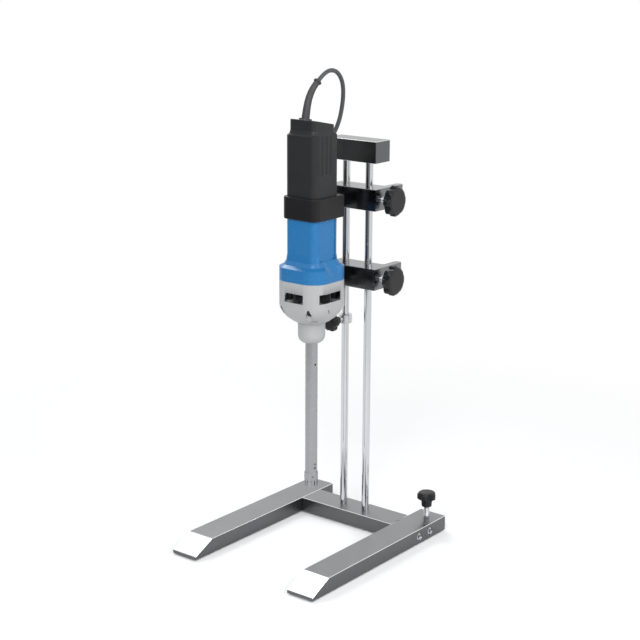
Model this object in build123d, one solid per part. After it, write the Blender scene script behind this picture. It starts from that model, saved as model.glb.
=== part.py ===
"""Rotor stator homogenizer on a two-column bench stand.  Millimetres, +Z up.
X runs along the crossbar and +Y is the rear.  Sizes are laid out from the columns, which stand at X = +-COL_X,
Y = 0 on the bench Z = 0; out() then moves the origin to the middle of the stand's footprint."""
import os
from math import atan2, cos, degrees, pi, radians, sin, sqrt, tan
from build123d import *

# ---------------------------------------------------------------- sizes
STAND_W, BAR_W, BAR_H = 232.0, 40.0, 20.0      # stand over both legs, flat bar section
LEG_Y0, LEG_Y1 = -237.0, 50.0                  # leg tip and leg rear
LEG_BEVEL, LEG_TIP_H = 32.0, 4.6               # sloping toe
FOOT_T = 1.5                                   # rubber foot thickness
COL_X, COL_D = 18.4, 10.0                      # half pitch and diameter of the columns
COL_SINK, TOP_SINK = 13.0, 22.0                # column depth in crossbar and in top block
TOP_Z, TOP_H, TOP_W, TOP_D = 498.5, 28.0, 79.0, 30.0
CL_W, CL_H, CL_Y0, CL_Y1 = 79.0, 28.0, -15.0, 20.0   # clamp bar
CL_LUG_W, CL_LUG_Y = 11.5, 48.0                # rearward lug at the knob end
CL_UP_Z, CL_LO_Z = 451.2, 347.3                # clamp bar centre heights
AX_Y = -95.0                                   # motor axis in front of the column plane
HANDLE_A, HANDLE_R = 24.6, 9.0                 # half width and corner radius of the grip
CAP_A, CAP_R = 21.4, 8.0
HANDLE_Z0, HANDLE_Z1, CAP_Z, CAP_TILT = 451.0, 541.0, 556.8, 11.2
RING_A, RING_R, RING_Z0, RING_Z1, RING_BACK = 27.8, 10.0, 437.0, 465.0, 31.0
BLUE_Z0, RIM_Z1, FLARE_Z1 = 359.0, 376.0, 392.0
NOSE_A, NOSE_R, NOSE_Z0 = 36.0, 23.7, 303.0
WALL = 2.4
FAN_R, FAN_Z0, FAN_Z1 = 22.6, 336.0, 348.0     # cooling fan behind the vents
BOSS_R, SEAT_Z = 28.4, 329.0                   # housing screws: circle and head seat
NECK_D, NECK_Z0, NECK_Z1 = 35.0, 275.5, 302.85
TUBE_D, TUBE_BORE = 16.0, 12.0
HEAD_D, HEAD_BORE, HEAD_Z0, HEAD_Z1 = 18.2, 13.4, 81.5, 100.5
HEAD_SLOTS, HEAD_SLOT_W, HEAD_SLOT_L = 12, 1.5, 8.0
ROTOR_D, ROTOR_TEETH = 12.8, 4
SHAFT_D, DRIVE_D = 6.0, 5.0
KNOB_D, KNOB_X0, KNOB_X1 = 40.0, 47.0, 66.0    # clamp star knob along X
STUD_D, STUD_PITCH = 8.0, 1.25
STOP_D, STOP_H, STOP_Z = 18.0, 12.0, 279.0
STOP_KNOB_D = 24.0
LEVEL_X, LEVEL_Y, LEVEL_D = 96.0, 34.0, 8.0
CORD_D = 5.5
# fits
FIT = 0.1        # running clearance on the columns, per side
SNUG = 0.05      # located parts, per side
SCREW_CLR = 0.2  # screw in clearance hole, per side
SEAM = 0.02      # face gap between parts that bear on each other

ORIGIN_Y = -(LEG_Y0 + LEG_Y1) / 2
os.makedirs("parts", exist_ok=True)
made = []


def out(name, shape):
    if isinstance(shape, (list, ShapeList)):
        shape = Compound(list(shape)) if len(shape) != 1 else shape[0]
    export_step(Pos(0, ORIGIN_Y, 0) * shape, "parts/" + name + ".step")
    made.append(name)


def cyl(r, z0, z1, x=0.0, y=0.0):
    return Pos(x, y, (z0 + z1) / 2) * Cylinder(r, z1 - z0)


def rod(r, a, b):
    """Cylinder between two points."""
    a, b = Vector(*a), Vector(*b)
    return Plane(origin=(a + b) / 2, z_dir=(b - a)) * Cylinder(r, (b - a).length)


def cone(r0, r1, a, b):
    a, b = Vector(*a), Vector(*b)
    return Plane(origin=(a + b) / 2, z_dir=(b - a)) * Cone(r0, r1, (b - a).length)


def block(x0, x1, y0, y1, z0, z1):
    return Pos((x0 + x1) / 2, (y0 + y1) / 2, (z0 + z1) / 2) * Box(x1 - x0, y1 - y0, z1 - z0)


def rsq(a, r, z0, z1, x=0.0, y=AX_Y):
    """Rounded square prism of half width a about the motor axis."""
    return Pos(x, y, z0) * extrude(RectangleRounded(2 * a, 2 * a, r), z1 - z0)


def edges_at(s, z):
    return s.edges().filter_by(lambda e: abs(e.center().Z - z) < 1e-3)


def try_fillet(s, e, r):
    try:
        return fillet(e, r)
    except Exception:
        print("fillet skipped", r)
        return s


def try_chamfer(s, e, c):
    try:
        return chamfer(e, c)
    except Exception:
        print("chamfer skipped", c)
        return s


def cap_screw(d, length, head_h=None, head_d=None, sock=None):
    """Socket cap screw, axis Z, head underside at Z=0, head upwards."""
    hd, hh, sk = head_d or 1.6 * d, head_h or d, sock or 0.8 * d
    s = cyl(hd / 2, 0, hh) + cyl(d / 2, -length, 0)
    s = try_chamfer(s, edges_at(s, hh), 0.3)
    hexa = extrude(RegularPolygon(sk / sqrt(3), 6), hh * 0.55)
    return s - Pos(0, 0, hh * 0.45) * hexa


def grub(d, length):
    s = cyl(d / 2, 0, length)
    return s - Pos(0, 0, length - 1.6) * extrude(RegularPolygon(0.29 * d, 6), 1.7)


def star(d, lobes, depth, height, hub_d, hub_h, taper=0.84):
    """Lobed knob, axis Z: hub from Z=0 up to hub_h, lobed head above it, domed face on top."""
    rl = pi * d / 2 / lobes * 0.62
    rc = d / 2 - rl
    head = extrude(Circle(rc + rl * 0.35), height)
    for i in range(lobes):
        t = 2 * pi * i / lobes
        head += Pos(rc * cos(t), rc * sin(t), 0) * extrude(Circle(rl), height)
    notch = None
    for i in range(lobes):
        t = 2 * pi * (i + 0.5) / lobes
        rn = rl * 0.62
        n = Pos((d / 2 + rn - depth) * cos(t), (d / 2 + rn - depth) * sin(t), -1) * extrude(Circle(rn), height + 2)
        notch = n if notch is None else notch + n
    head = head - notch
    top_r = d / 2
    lid = revolve(Plane.XZ * make_face(Polyline((0, -1), (top_r + 2, -1), (top_r + 2, height * 0.42),
                                                (top_r - 0.4, height * 0.72), (top_r - 2.6, height * 0.94),
                                                (top_r - 5.5, height), (0, height), close=True)), Axis.Z)
    under = revolve(Plane.XZ * make_face(Polyline((0, -1), (hub_d / 2, -1), (hub_d / 2, 0), (top_r + 2, height * 0.34),
                                                  (top_r + 2, height + 1), (0, height + 1), close=True)), Axis.Z)
    head = head & lid & under
    hub = Pos(0, 0, hub_h / 2) * Cone(hub_d / 2 * taper, hub_d / 2, hub_h)
    return Pos(0, 0, hub_h) * head + hub


# ---------------------------------------------------------------- stand
LEG_Z0, LEG_Z1 = FOOT_T, FOOT_T + BAR_H
IN_X = STAND_W / 2 - BAR_W
CB_SCREW_Y = (-11.0, 14.0)
SCR_Z = LEG_Z0 + BAR_H / 2 - 0.4


def leg(side):
    s = block(IN_X, STAND_W / 2, LEG_Y0, LEG_Y1, LEG_Z0, LEG_Z1)
    toe = Plane.YZ * make_face(Polyline((LEG_Y0 - 5, LEG_Z0 + LEG_TIP_H - 5 * (BAR_H - LEG_TIP_H) / LEG_BEVEL),
                                        (LEG_Y0 + LEG_BEVEL, LEG_Z1), (LEG_Y0 + LEG_BEVEL, LEG_Z1 + 9),
                                        (LEG_Y0 - 5, LEG_Z1 + 9), close=True))
    s = s - Pos(IN_X - 5, 0, 0) * extrude(toe, BAR_W + 10)
    s = try_chamfer(s, s.edges(), 0.5)
    for y in CB_SCREW_Y:                                   # counterbored cross holes
        s = s - rod(5.4, (STAND_W / 2 - 7.0, y, SCR_Z), (STAND_W / 2 + 1, y, SCR_Z))
        s = s - rod(3.0 + SCREW_CLR, (IN_X - 1, y, SCR_Z), (STAND_W / 2, y, SCR_Z))
    for y in ((LEG_Y0 + 22,) if side > 0 else (LEG_Y0 + 22, LEG_Y1 - 16)):
        s = s - cyl(8.0 + SNUG, LEG_Z0 - 1, LEG_Z0 + 1.0, IN_X + BAR_W / 2, y)   # foot recess
    if side > 0:                                           # levelling screw thread
        s = s - cyl(LEVEL_D / 2 + 0.05, 0, 40, LEVEL_X, LEVEL_Y)
        s = s - cyl(9.5, 0, LEG_Z0 + 6.0, LEVEL_X, LEVEL_Y)
    else:
        s = mirror(s, Plane.YZ)
    return s


out("leg_right", leg(1))
out("leg_left", leg(-1))
foot = cyl(8.0, 0, LEG_Z0 + 1.0 - SEAM)
foot = try_chamfer(foot, edges_at(foot, 0), 0.4)
feet = []
for x, y in ((IN_X + BAR_W / 2, LEG_Y0 + 22), (-IN_X - BAR_W / 2, LEG_Y0 + 22), (-IN_X - BAR_W / 2, LEG_Y1 - 16)):
    feet.append(Pos(x, y, 0) * foot)
out("rubber_feet", feet)

cb = block(-IN_X + SEAM, IN_X - SEAM, -BAR_W / 2, BAR_W / 2, LEG_Z0, LEG_Z1)
cb = try_chamfer(cb, cb.edges(), 0.5)
for sx in (-1, 1):
    cb = cb - cyl(COL_D / 2 + SNUG, LEG_Z1 - COL_SINK, LEG_Z1 + 2, sx * COL_X, 0)
    cb = cb - cyl(2.5 + SCREW_CLR, 0, LEG_Z1, sx * COL_X, 0)
    cb = cb - Pos(sx * COL_X, 0, LEG_Z0 + 1.5) * Cone(5.4, 2.6, 3.0)
    for y in CB_SCREW_Y:
        cb = cb - rod(3.0 + 0.05, (sx * (IN_X + 1), y, SCR_Z), (sx * (IN_X - 24), y, SCR_Z))
out("cross_bar", cb)
side_screw = cap_screw(6.0, 54.0, sock=5.0)
scr = []
for sx in (-1, 1):
    for y in CB_SCREW_Y:
        scr.append(Plane(origin=(sx * (STAND_W / 2 - 7.0 + SEAM), y, SCR_Z), z_dir=(sx, 0, 0), x_dir=(0, 1, 0)) * side_screw)
out("frame_screws", scr)

col = cyl(COL_D / 2, LEG_Z1 - COL_SINK + SEAM, TOP_Z + TOP_SINK - SEAM)
col = try_chamfer(col, col.edges().filter_by(GeomType.CIRCLE), 0.5)
col = col - cyl(2.15, 0, LEG_Z1 - COL_SINK + 14)
out("column_left", Pos(-COL_X, 0, 0) * col)
out("column_right", Pos(COL_X, 0, 0) * col)
csk = Pos(0, 0, 1.5) * Cone(5.2, 2.5, 3.0) + cyl(2.1, 0, 17.5)
csk = csk - Pos(0, 0, 0) * extrude(RegularPolygon(1.75, 6), 2.0)
out("column_screws", [Pos(sx * COL_X, 0, LEG_Z0 + 0.1) * csk for sx in (-1, 1)])

tb = block(-TOP_W / 2, TOP_W / 2, -TOP_D / 2, TOP_D / 2, TOP_Z, TOP_Z + TOP_H)
tb = try_chamfer(tb, tb.edges(), 0.5)
for sx in (-1, 1):
    tb = tb - cyl(COL_D / 2 + SNUG, TOP_Z - 1, TOP_Z + TOP_SINK, sx * COL_X, 0)
    tb = tb - rod(2.0 + 0.05, (sx * COL_X, 3, TOP_Z + TOP_H / 2), (sx * COL_X, TOP_D / 2 + 1, TOP_Z + TOP_H / 2))
out("top_block", tb)
out("top_set_screws", [Plane(origin=(sx * COL_X, COL_D / 2 + SEAM, TOP_Z + TOP_H / 2), z_dir=(0, 1, 0)) * grub(4.0, 8.0)
                       for sx in (-1, 1)])

# levelling screw: non-turning foot, screw with star knob
lf = cyl(8.5, 0, 2.2, LEVEL_X, LEVEL_Y)
lf = try_fillet(lf, edges_at(lf, 2.2), 0.6)
lf = lf + cyl(5.0, 2.2, 4.6, LEVEL_X, LEVEL_Y) - cyl(3.0 + FIT, 1.4, 5, LEVEL_X, LEVEL_Y)
out("levelling_foot", lf)
LK_Z0 = 36.0
ls = cyl(3.0, 1.4 + SEAM, 5.2, LEVEL_X, LEVEL_Y) + cyl(LEVEL_D / 2, 5.2, LK_Z0 + 9, LEVEL_X, LEVEL_Y)
out("levelling_screw", ls)
lk = Pos(LEVEL_X, LEVEL_Y, LK_Z0) * star(26.0, 5, 2.6, 12.0, 15.0, 8.0, 0.9)
lk = lk - cyl(LEVEL_D / 2 + SNUG, LK_Z0 - 1, LK_Z0 + 9 + SEAM, LEVEL_X, LEVEL_Y)
out("levelling_knob", lk)


# ---------------------------------------------------------------- clamp bars
CLX = CL_W / 2
KEY = (-38.0, -24.5, -7.0, 4.0)     # pocket that keys the arm: X0, X1, local Z0, Z1
PAD_D, PAD_L = 6.4, 4.0


def clamp(zc):
    z0, z1 = zc - CL_H / 2, zc + CL_H / 2
    s = block(-CLX, CLX, CL_Y0, CL_Y1, z0, z1)
    lug = block(CLX - CL_LUG_W, CLX, CL_Y0 + 5, CL_LUG_Y, z0, z1)
    lug = try_fillet(lug, lug.edges().filter_by(Axis.Z).sort_by(Axis.Y)[-2:], CL_LUG_W / 2 - 0.8)
    s = s + lug
    inner = s.edges().filter_by(Axis.Z).filter_by(
        lambda e: abs(e.center().X - (CLX - CL_LUG_W)) < 0.01 and abs(e.center().Y - CL_Y1) < 0.01)
    s = try_fillet(s, inner, 4.0)
    s = try_chamfer(s, s.edges().filter_by(
        lambda e: abs(e.center().Z - z0) < 1e-3 or abs(e.center().Z - z1) < 1e-3), 0.5)
    for sx in (-1, 1):
        s = s - cyl(COL_D / 2 + FIT, z0 - 1, z1 + 1, sx * COL_X, 0)
    s = s - rod(STUD_D / 2 + 0.05, (COL_X, 0, zc), (CLX + 1, 0, zc))
    s = s - block(KEY[0] - 2, KEY[1], CL_Y0 - 1, CL_Y0 + 2.0, zc + KEY[2], zc + KEY[3])
    zs = zc + (KEY[2] + KEY[3]) / 2
    s = s - rod(3.0 + SCREW_CLR, (-31.2, CL_Y0, zs), (-31.2, CL_Y1 + 1, zs))
    s = s - rod(5.3, (-31.2, CL_Y1 - 6.5, zs), (-31.2, CL_Y1 + 1, zs))
    return s


knob = star(KNOB_D, 8, 2.6, 13.0, 21.0, KNOB_X1 + 10.0 - 13.0 - KNOB_X0, 0.8)
HUB_H = KNOB_X1 + 10.0 - 13.0 - KNOB_X0
for nm, zc in (("upper", CL_UP_Z), ("lower", CL_LO_Z)):
    out(nm + "_clamp", clamp(zc))
    pad = rod(PAD_D / 2, (COL_X + COL_D / 2 - 0.9, 0, zc), (COL_X + COL_D / 2 + PAD_L, 0, zc))
    pad = pad - cyl(COL_D / 2 + SEAM, zc - 9, zc + 9, COL_X, 0)
    tipx = COL_X + COL_D / 2 + PAD_L
    pad = pad - rod(1.5 + FIT, (tipx - 2.2, 0, zc), (tipx + 1, 0, zc))
    out(nm + "_clamp_pad", pad)
    st = rod(STUD_D / 2, (tipx + SEAM, 0, zc), (KNOB_X0 + 12.0, 0, zc)) + rod(1.5, (tipx - 2.2 + SEAM, 0, zc), (tipx + 1, 0, zc))
    out(nm + "_clamp_stud", st)
    kn = Plane(origin=(KNOB_X0, 0, zc), z_dir=(1, 0, 0), x_dir=(0, 1, 0)) * knob
    kn = kn - rod(STUD_D / 2 + SNUG, (KNOB_X0 - 1, 0, zc), (KNOB_X0 + 12.0 + SEAM, 0, zc))
    out(nm + "_clamp_knob", kn)
arm_scr = cap_screw(6.0, 44.0, sock=5.0)
out("arm_screws", [Plane(origin=(-31.2, CL_Y1 - 6.5 + SEAM, zc + (KEY[2] + KEY[3]) / 2), z_dir=(0, 1, 0)) * arm_scr
                   for zc in (CL_UP_Z, CL_LO_Z)])

# stop collar on the left column, with its screw towards the front
sc = cyl(STOP_D / 2, STOP_Z, STOP_Z + STOP_H, -COL_X, 0)
sc = try_chamfer(sc, sc.edges().filter_by(GeomType.CIRCLE), 0.6)
sc = sc - cyl(COL_D / 2 + FIT, STOP_Z - 1, STOP_Z + STOP_H + 1, -COL_X, 0)
SZ = STOP_Z + STOP_H / 2
sc = sc - rod(2.5 + 0.05, (-COL_X, 0, SZ), (-COL_X, -20, SZ))
out("stop_collar", sc)
spad = rod(2.0, (-COL_X, -COL_D / 2 - 1.8, SZ), (-COL_X, -COL_D / 2 + 0.5, SZ)) - cyl(COL_D / 2 + SEAM, SZ - 5, SZ + 5, -COL_X, 0)
out("stop_pad", spad)
ss = rod(2.5, (-COL_X, -COL_D / 2 - 1.8 - SEAM, SZ), (-COL_X, -26.0, SZ))
out("stop_screw", ss)
sk = Plane(origin=(-COL_X, -16.0, SZ), z_dir=(0, -1, 0), x_dir=(1, 0, 0)) * star(STOP_KNOB_D, 6, 1.8, 12.0, 12.0, 9.0, 0.85)
sk = sk - rod(2.5 + SNUG, (-COL_X, -10, SZ), (-COL_X, -26.0 - SEAM, SZ))
out("stop_knob", sk)

# ---------------------------------------------------------------- holder ring and lower cradle
ring = rsq(RING_A, RING_R, RING_Z0, RING_Z1)
ring = ring + block(-RING_A, RING_A, AX_Y, AX_Y + RING_BACK, RING_Z0, RING_Z1)
ring = try_fillet(ring, ring.edges().filter_by(Axis.Z).sort_by(Axis.Y)[-2:], 2.0)
ring = try_fillet(ring, edges_at(ring, RING_Z1), 1.4)
ring = try_chamfer(ring, edges_at(ring, RING_Z0), 0.8)
AX0, AX1 = -38.0, -13.5
arm = block(KEY[0] + SNUG, KEY[1] - SNUG, -20.0, CL_Y0 + 2.0 - SEAM, CL_UP_Z + KEY[2] + SNUG, CL_UP_Z + KEY[3] - SNUG)
arm = arm + block(AX0, AX1, AX_Y + RING_BACK - 14, CL_Y0 - SEAM, CL_UP_Z - 13.0, CL_UP_Z + KEY[3] - SNUG)
arm = arm + block(AX0, 8, AX_Y + RING_BACK - 6, AX_Y + RING_BACK + 4, CL_UP_Z - 13.0, CL_UP_Z + KEY[3] - SNUG)
ring = ring + arm
ring = ring - rsq(HANDLE_A + SNUG, HANDLE_R + SNUG, RING_Z0 - 1, RING_Z1 + 1)
zs = CL_UP_Z + (KEY[2] + KEY[3]) / 2
ring = ring - rod(3.0 + 0.05, (-31.2, CL_Y0 + 3, zs), (-31.2, CL_Y0 - 28, zs))
PINCH_Z = RING_Z0 + 14.0
for sx in (-1, 1):
    ring = ring - rod(2.0 + 0.05, (sx * 15.0, AX_Y + HANDLE_A - 1, PINCH_Z + 6), (sx * 15.0, AX_Y + RING_BACK + 20, PINCH_Z + 6))
out("holder_ring", ring)
out("holder_set_screws", [Plane(origin=(sx * 15.0, AX_Y + HANDLE_A + SEAM, PINCH_Z + 6), z_dir=(0, 1, 0)) * grub(4.0, 5.5)
                          for sx in (-1, 1)])

low = block(KEY[0] + SNUG, KEY[1] - SNUG, -20.0, CL_Y0 + 2.0 - SEAM, CL_LO_Z + KEY[2] + SNUG, CL_LO_Z + KEY[3] - SNUG)
low = low + block(AX0, AX1, -78, CL_Y0 - SEAM, CL_LO_Z - 6.9, CL_LO_Z + 9.0)
low = low - rsq(NOSE_A + SNUG, NOSE_R + SNUG, 300, 400)
zs = CL_LO_Z + (KEY[2] + KEY[3]) / 2
low = low - rod(3.0 + 0.05, (-31.2, CL_Y0 + 3, zs), (-31.2, CL_Y0 - 28, zs))
out("lower_arm", low)
# ---------------------------------------------------------------- handle
SH_Z0, SH_Z1 = 476.0, 536.0              # speed board
BD_Y = AX_Y - 12.0


def cap_plane(s, drop=0.0):
    """Cut a solid by the sloping top plane."""
    k = tan(radians(CAP_TILT))
    w = 60.0
    tool = Plane.YZ * make_face(Polyline((AX_Y - w, CAP_Z - drop + k * w), (AX_Y + w, CAP_Z - drop - k * w),
                                         (AX_Y + w, CAP_Z + 80), (AX_Y - w, CAP_Z + 80), close=True))
    return s - Pos(-60, 0, 0) * extrude(tool, 120)


body = rsq(HANDLE_A, HANDLE_R, HANDLE_Z0, HANDLE_Z1)
capo = cap_plane(rsq(CAP_A, CAP_R, HANDLE_Z1 - 1, CAP_Z + 12))
topf = capo.faces().sort_by(Axis.Z)[-1]
capo = try_fillet(capo, topf.edges(), 1.0)
flare = loft([Pos(0, AX_Y, HANDLE_Z1) * RectangleRounded(2 * HANDLE_A - 0.6, 2 * HANDLE_A - 0.6, HANDLE_R - 0.3),
              Pos(0, AX_Y, HANDLE_Z1 + 2.2) * RectangleRounded(2 * CAP_A + 2.2, 2 * CAP_A + 2.2, CAP_R + 1.0),
              Pos(0, AX_Y, HANDLE_Z1 + 6.5) * RectangleRounded(2 * CAP_A, 2 * CAP_A, CAP_R)], ruled=True)
handle = body + flare + capo
# sloping shoulder on the grooved side
handle = handle - Plane(origin=(HANDLE_A + 0.2, AX_Y + 17.5, HANDLE_Z1 - 5.0), z_dir=(0, 0.62, 0.78), x_dir=(1, 0, 0)) \
    * Pos(0, 0, 20.0) * Box(5.0, 60, 40)
inner = rsq(HANDLE_A - WALL, HANDLE_R - WALL, HANDLE_Z0 - 1, HANDLE_Z1 - WALL)
inner2 = cap_plane(rsq(CAP_A - WALL, CAP_R - WALL, HANDLE_Z1 - WALL - 1, CAP_Z + 12), WALL + 0.4)
handle = handle - inner - inner2
for sx in (-1, 1):                       # ribs that hold the speed board by its edges
    rib = block(sx * 20.5 - 1.9, sx * 20.5 + 1.9, BD_Y - 2.0, BD_Y + 3.6, SH_Z0 - 2, SH_Z1)
    handle = handle + (rib - block(-20.0 - SNUG, 20.0 + SNUG, BD_Y - SNUG, BD_Y + 1.6 + SNUG, SH_Z0 - SEAM, SH_Z1 + 3))
GROOVE_Z0, GROOVE_Z1 = 494.0, 538.0
for i in range(4):
    y = AX_Y - 19.0 + 8.3 * i
    g = rod(1.7, (HANDLE_A + 0.6, y, GROOVE_Z0), (HANDLE_A + 0.6, y, HANDLE_Z1 + 1)) + Pos(HANDLE_A + 0.6, y, GROOVE_Z0) * Sphere(1.7)
    handle = handle - g
    handle = handle - mirror(g, Plane.YZ)
# openings: rocker switch on the far side, thumbwheel at the back, cord boot on top
SW_Z, DIAL_Z = 520.0, 500.0
SWW, SWH = 8.0, 14.0
handle = handle - block(-HANDLE_A - 1, -HANDLE_A + WALL + 1, AX_Y - SWW / 2, AX_Y + SWW / 2, SW_Z - SWH / 2, SW_Z + SWH / 2)
handle = handle - block(-4.6, 4.6, AX_Y + HANDLE_A - WALL - 1, AX_Y + HANDLE_A + 1, DIAL_Z - 8.5, DIAL_Z + 8.5)
BOOT_X, BOOT_DY = -4.0, -8.5
BK = tan(radians(CAP_TILT))
BOOT_P = Vector(BOOT_X, AX_Y + BOOT_DY, CAP_Z - BK * BOOT_DY)
BOOT_N = Vector(0, sin(radians(CAP_TILT)), cos(radians(CAP_TILT)))
handle = handle - Plane(origin=BOOT_P, z_dir=BOOT_N) * Cylinder(4.6, 12)
out("handle_shell", handle)
# switch
sb = block(-HANDLE_A + SEAM, -HANDLE_A + 15, AX_Y - SWW / 2 + SNUG, AX_Y + SWW / 2 - SNUG, SW_Z - SWH / 2 + SNUG, SW_Z + SWH / 2 - SNUG)
sb = sb + block(-HANDLE_A - 1.0, -HANDLE_A - SEAM, AX_Y - SWW / 2 - 1, AX_Y + SWW / 2 + 1, SW_Z - SWH / 2 - 1, SW_Z + SWH / 2 + 1)
sb = sb + block(-HANDLE_A - 0.5, -HANDLE_A + 1, AX_Y - SWW / 2 + SNUG, AX_Y + SWW / 2 - SNUG, SW_Z - SWH / 2 + SNUG, SW_Z + SWH / 2 - SNUG)
sb = sb - block(-HANDLE_A - 3, -HANDLE_A + 7.5, AX_Y - SWW / 2 + 1.0, AX_Y + SWW / 2 - 1.0, SW_Z - SWH / 2 + 1.0, SW_Z + SWH / 2 - 1.0)
out("switch_body", sb)
RK_X = -HANDLE_A + 3.0
rk = Plane.XZ * make_face(Polyline((RK_X + 1.5, SW_Z - 4.1), (RK_X - 3.3, SW_Z - 4.5), (RK_X - 3.9, SW_Z), (RK_X - 5.3, SW_Z + 4.5),
                                   (RK_X + 1.0, SW_Z + 4.1), close=True))
rk = Pos(0, AX_Y + SWW / 2 - 1.0 - 0.15, 0) * extrude(rk, SWW - 2.3)
rk = rk + rod(1.0, (RK_X, AX_Y - SWW / 2 + 1.05, SW_Z), (RK_X, AX_Y + SWW / 2 - 1.05, SW_Z))
out("switch_rocker", rk)
# thumbwheel speed dial, turning about X, standing out of a slot at the back
DR = 8.0
DY = AX_Y + HANDLE_A - 5.4
dial = rod(DR, (-3.6, DY, DIAL_Z), (3.6, DY, DIAL_Z))
dial = try_chamfer(dial, dial.edges().filter_by(GeomType.CIRCLE), 0.6)
for i in range(20):
    t = 2 * pi * i / 20
    dial = dial - rod(0.55, (-4, DY + DR * cos(t), DIAL_Z + DR * sin(t)), (4, DY + DR * cos(t), DIAL_Z + DR * sin(t)))
dial = dial - rod(1.5 + FIT, (-4, DY, DIAL_Z), (4, DY, DIAL_Z))
out("speed_dial", dial)
pot = rod(1.5, (-4.4, DY, DIAL_Z), (9.0, DY, DIAL_Z)) + rod(2.6, (5.2, DY, DIAL_Z), (10.0, DY, DIAL_Z))
pot = pot + block(5.2, 10.0, BD_Y + 1.6, DY, DIAL_Z - 4.0, DIAL_Z + 4.0)
# speed board on two ribs of the shell
board = block(-20.0, 20.0, BD_Y, BD_Y + 1.6, SH_Z0, SH_Z1)
board = board + block(-14, -3, BD_Y + 1.6, BD_Y + 9.0, SH_Z0 + 4, SH_Z0 + 16) + block(4, 14, BD_Y + 1.6, BD_Y + 11, SH_Z0 + 40, SH_Z0 + 54)
board = board + pot
out("speed_board", board)

# ---------------------------------------------------------------- blue motor housing
BA, BR = HANDLE_A, HANDLE_R
blue = rsq(BA, BR, BLUE_Z0 + 10, HANDLE_Z0 - SEAM) + rsq(NOSE_A, NOSE_R, BLUE_Z0 + SEAM, RIM_Z1)
blue = blue + loft([Pos(0, AX_Y, RIM_Z1) * RectangleRounded(2 * NOSE_A, 2 * NOSE_A, NOSE_R),
                    Pos(0, AX_Y, RIM_Z1 + 3.0) * RectangleRounded(2 * NOSE_A - 12.0, 2 * NOSE_A - 12.0, NOSE_R - 6.5),
                    Pos(0, AX_Y, RIM_Z1 + 8.0) * RectangleRounded(2 * BA + 3.0, 2 * BA + 3.0, BR + 2.0),
                    Pos(0, AX_Y, FLARE_Z1) * RectangleRounded(2 * BA, 2 * BA, BR)], ruled=True)
PAN = 1.2
for sx in (-1, 1):      # scooped side and recessed flat panel
    p0, p1 = Vector(sx * (BA - PAN), AX_Y, 385.0), Vector(sx * NOSE_A, AX_Y, 368.0)
    ax = (p1 - p0).normalized()
    nrm = Vector(-ax.Z * sx, 0, ax.X * sx)
    rs = 34.0
    c0, c1 = p0 + nrm * rs - ax * 2.0, p1 + nrm * rs + ax * 30.0
    scoop = rod(rs, (c0.X, c0.Y, c0.Z), (c1.X, c1.Y, c1.Z))
    keep = block(-BA + PAN, BA - PAN, AX_Y - 60, AX_Y + 60, 300, 500)
    blue = blue - (scoop - keep)
    pan = block(BA - PAN, BA + 6, AX_Y - 16.5, AX_Y + 16.5, 385.0, HANDLE_Z0 + 1)
    blue = blue - (pan if sx > 0 else mirror(pan, Plane.YZ))
blue = blue - rsq(BA - WALL - 0.6, BR - WALL, 372.0, HANDLE_Z0 + 1)
blue = blue - rsq(NOSE_A - WALL - 2.2, NOSE_R - WALL - 1.0, BLUE_Z0 - 1, 366.0) - cyl(21.0, 360, 380, 0, AX_Y)
out("motor_housing", blue)

# ---------------------------------------------------------------- grey nose housing with vents
prof = [(NOSE_A, 0.0), (NOSE_A - 0.6, -5.0), (NOSE_A - 3.0, -11.0), (NOSE_A - 7.0, -17.0), (NOSE_A - 12.0, -21.6),
        (NOSE_A - 16.5, -24.2)]
NZ = 327.5
nose = rsq(NOSE_A, NOSE_R, NZ, BLUE_Z0 - SEAM)
secs = []
for a, dz in prof:
    r = min(NOSE_R, a - 1.0)
    secs.append(Pos(0, AX_Y, NZ + dz) * RectangleRounded(2 * a, 2 * a, r))
nose = nose + loft(secs, ruled=True)
icut = []
for a, dz in prof:
    ai = a - WALL - 0.4
    icut.append(Pos(0, AX_Y, NZ + dz + 2.6) * RectangleRounded(2 * ai, 2 * ai, min(NOSE_R - WALL, ai - 1.0)))
nose = nose - rsq(NOSE_A - WALL, NOSE_R - WALL, NZ + 2.5, BLUE_Z0 + 1) - loft(icut, ruled=True)
BRG_Z0, BRG_H, BRG_D = 321.0, 6.0, 19.0
for i in range(4):      # cross webs that carry the lower bearing seat
    t = pi / 4 + pi / 2 * i
    wb = Pos(21.0 * cos(t), 21.0 * sin(t) + AX_Y, 315.0) * Rot(0, 0, degrees(t)) * Box(26.0, 2.6, 22.0)
    nose = nose + (wb & (rsq(NOSE_A - 2, NOSE_R - 2, NZ, 340) + loft(secs, ruled=True)))
nose = nose + cyl(13.0, NOSE_Z0 + 0.4, BRG_Z0 + BRG_H, 0, AX_Y)
VENT_Z0, VENT_Z1, DIV = 333.2, 345.2, 1.3
for sx in (-1, 1):      # front and back vents, side vents, each with one divider
    for x0, x1 in ((-15.4, -DIV / 2 - 0.6), (DIV / 2 - 0.6, 14.6)):
        v = block(x0, x1, AX_Y - NOSE_A - 2, AX_Y - NOSE_A + WALL + 9, VENT_Z0, VENT_Z1)
        nose = nose - (v if sx < 0 else mirror(v, Plane(origin=(0, AX_Y, 0), z_dir=(0, 1, 0))))
    for y0, y1 in ((-25.0, -DIV / 2 - 6.0), (DIV / 2 - 6.0, 14.0)):
        v = block(NOSE_A - WALL - 9, NOSE_A + 2, AX_Y + y0, AX_Y + y1, VENT_Z0 + 1, VENT_Z1 + 1)
        nose = nose - (v if sx > 0 else mirror(v, Plane.YZ))
nose = nose - cyl(BRG_D / 2 + SNUG, BRG_Z0, 400, 0, AX_Y) - cyl(7.2, 295, BRG_Z0 + 1, 0, AX_Y)
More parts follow.
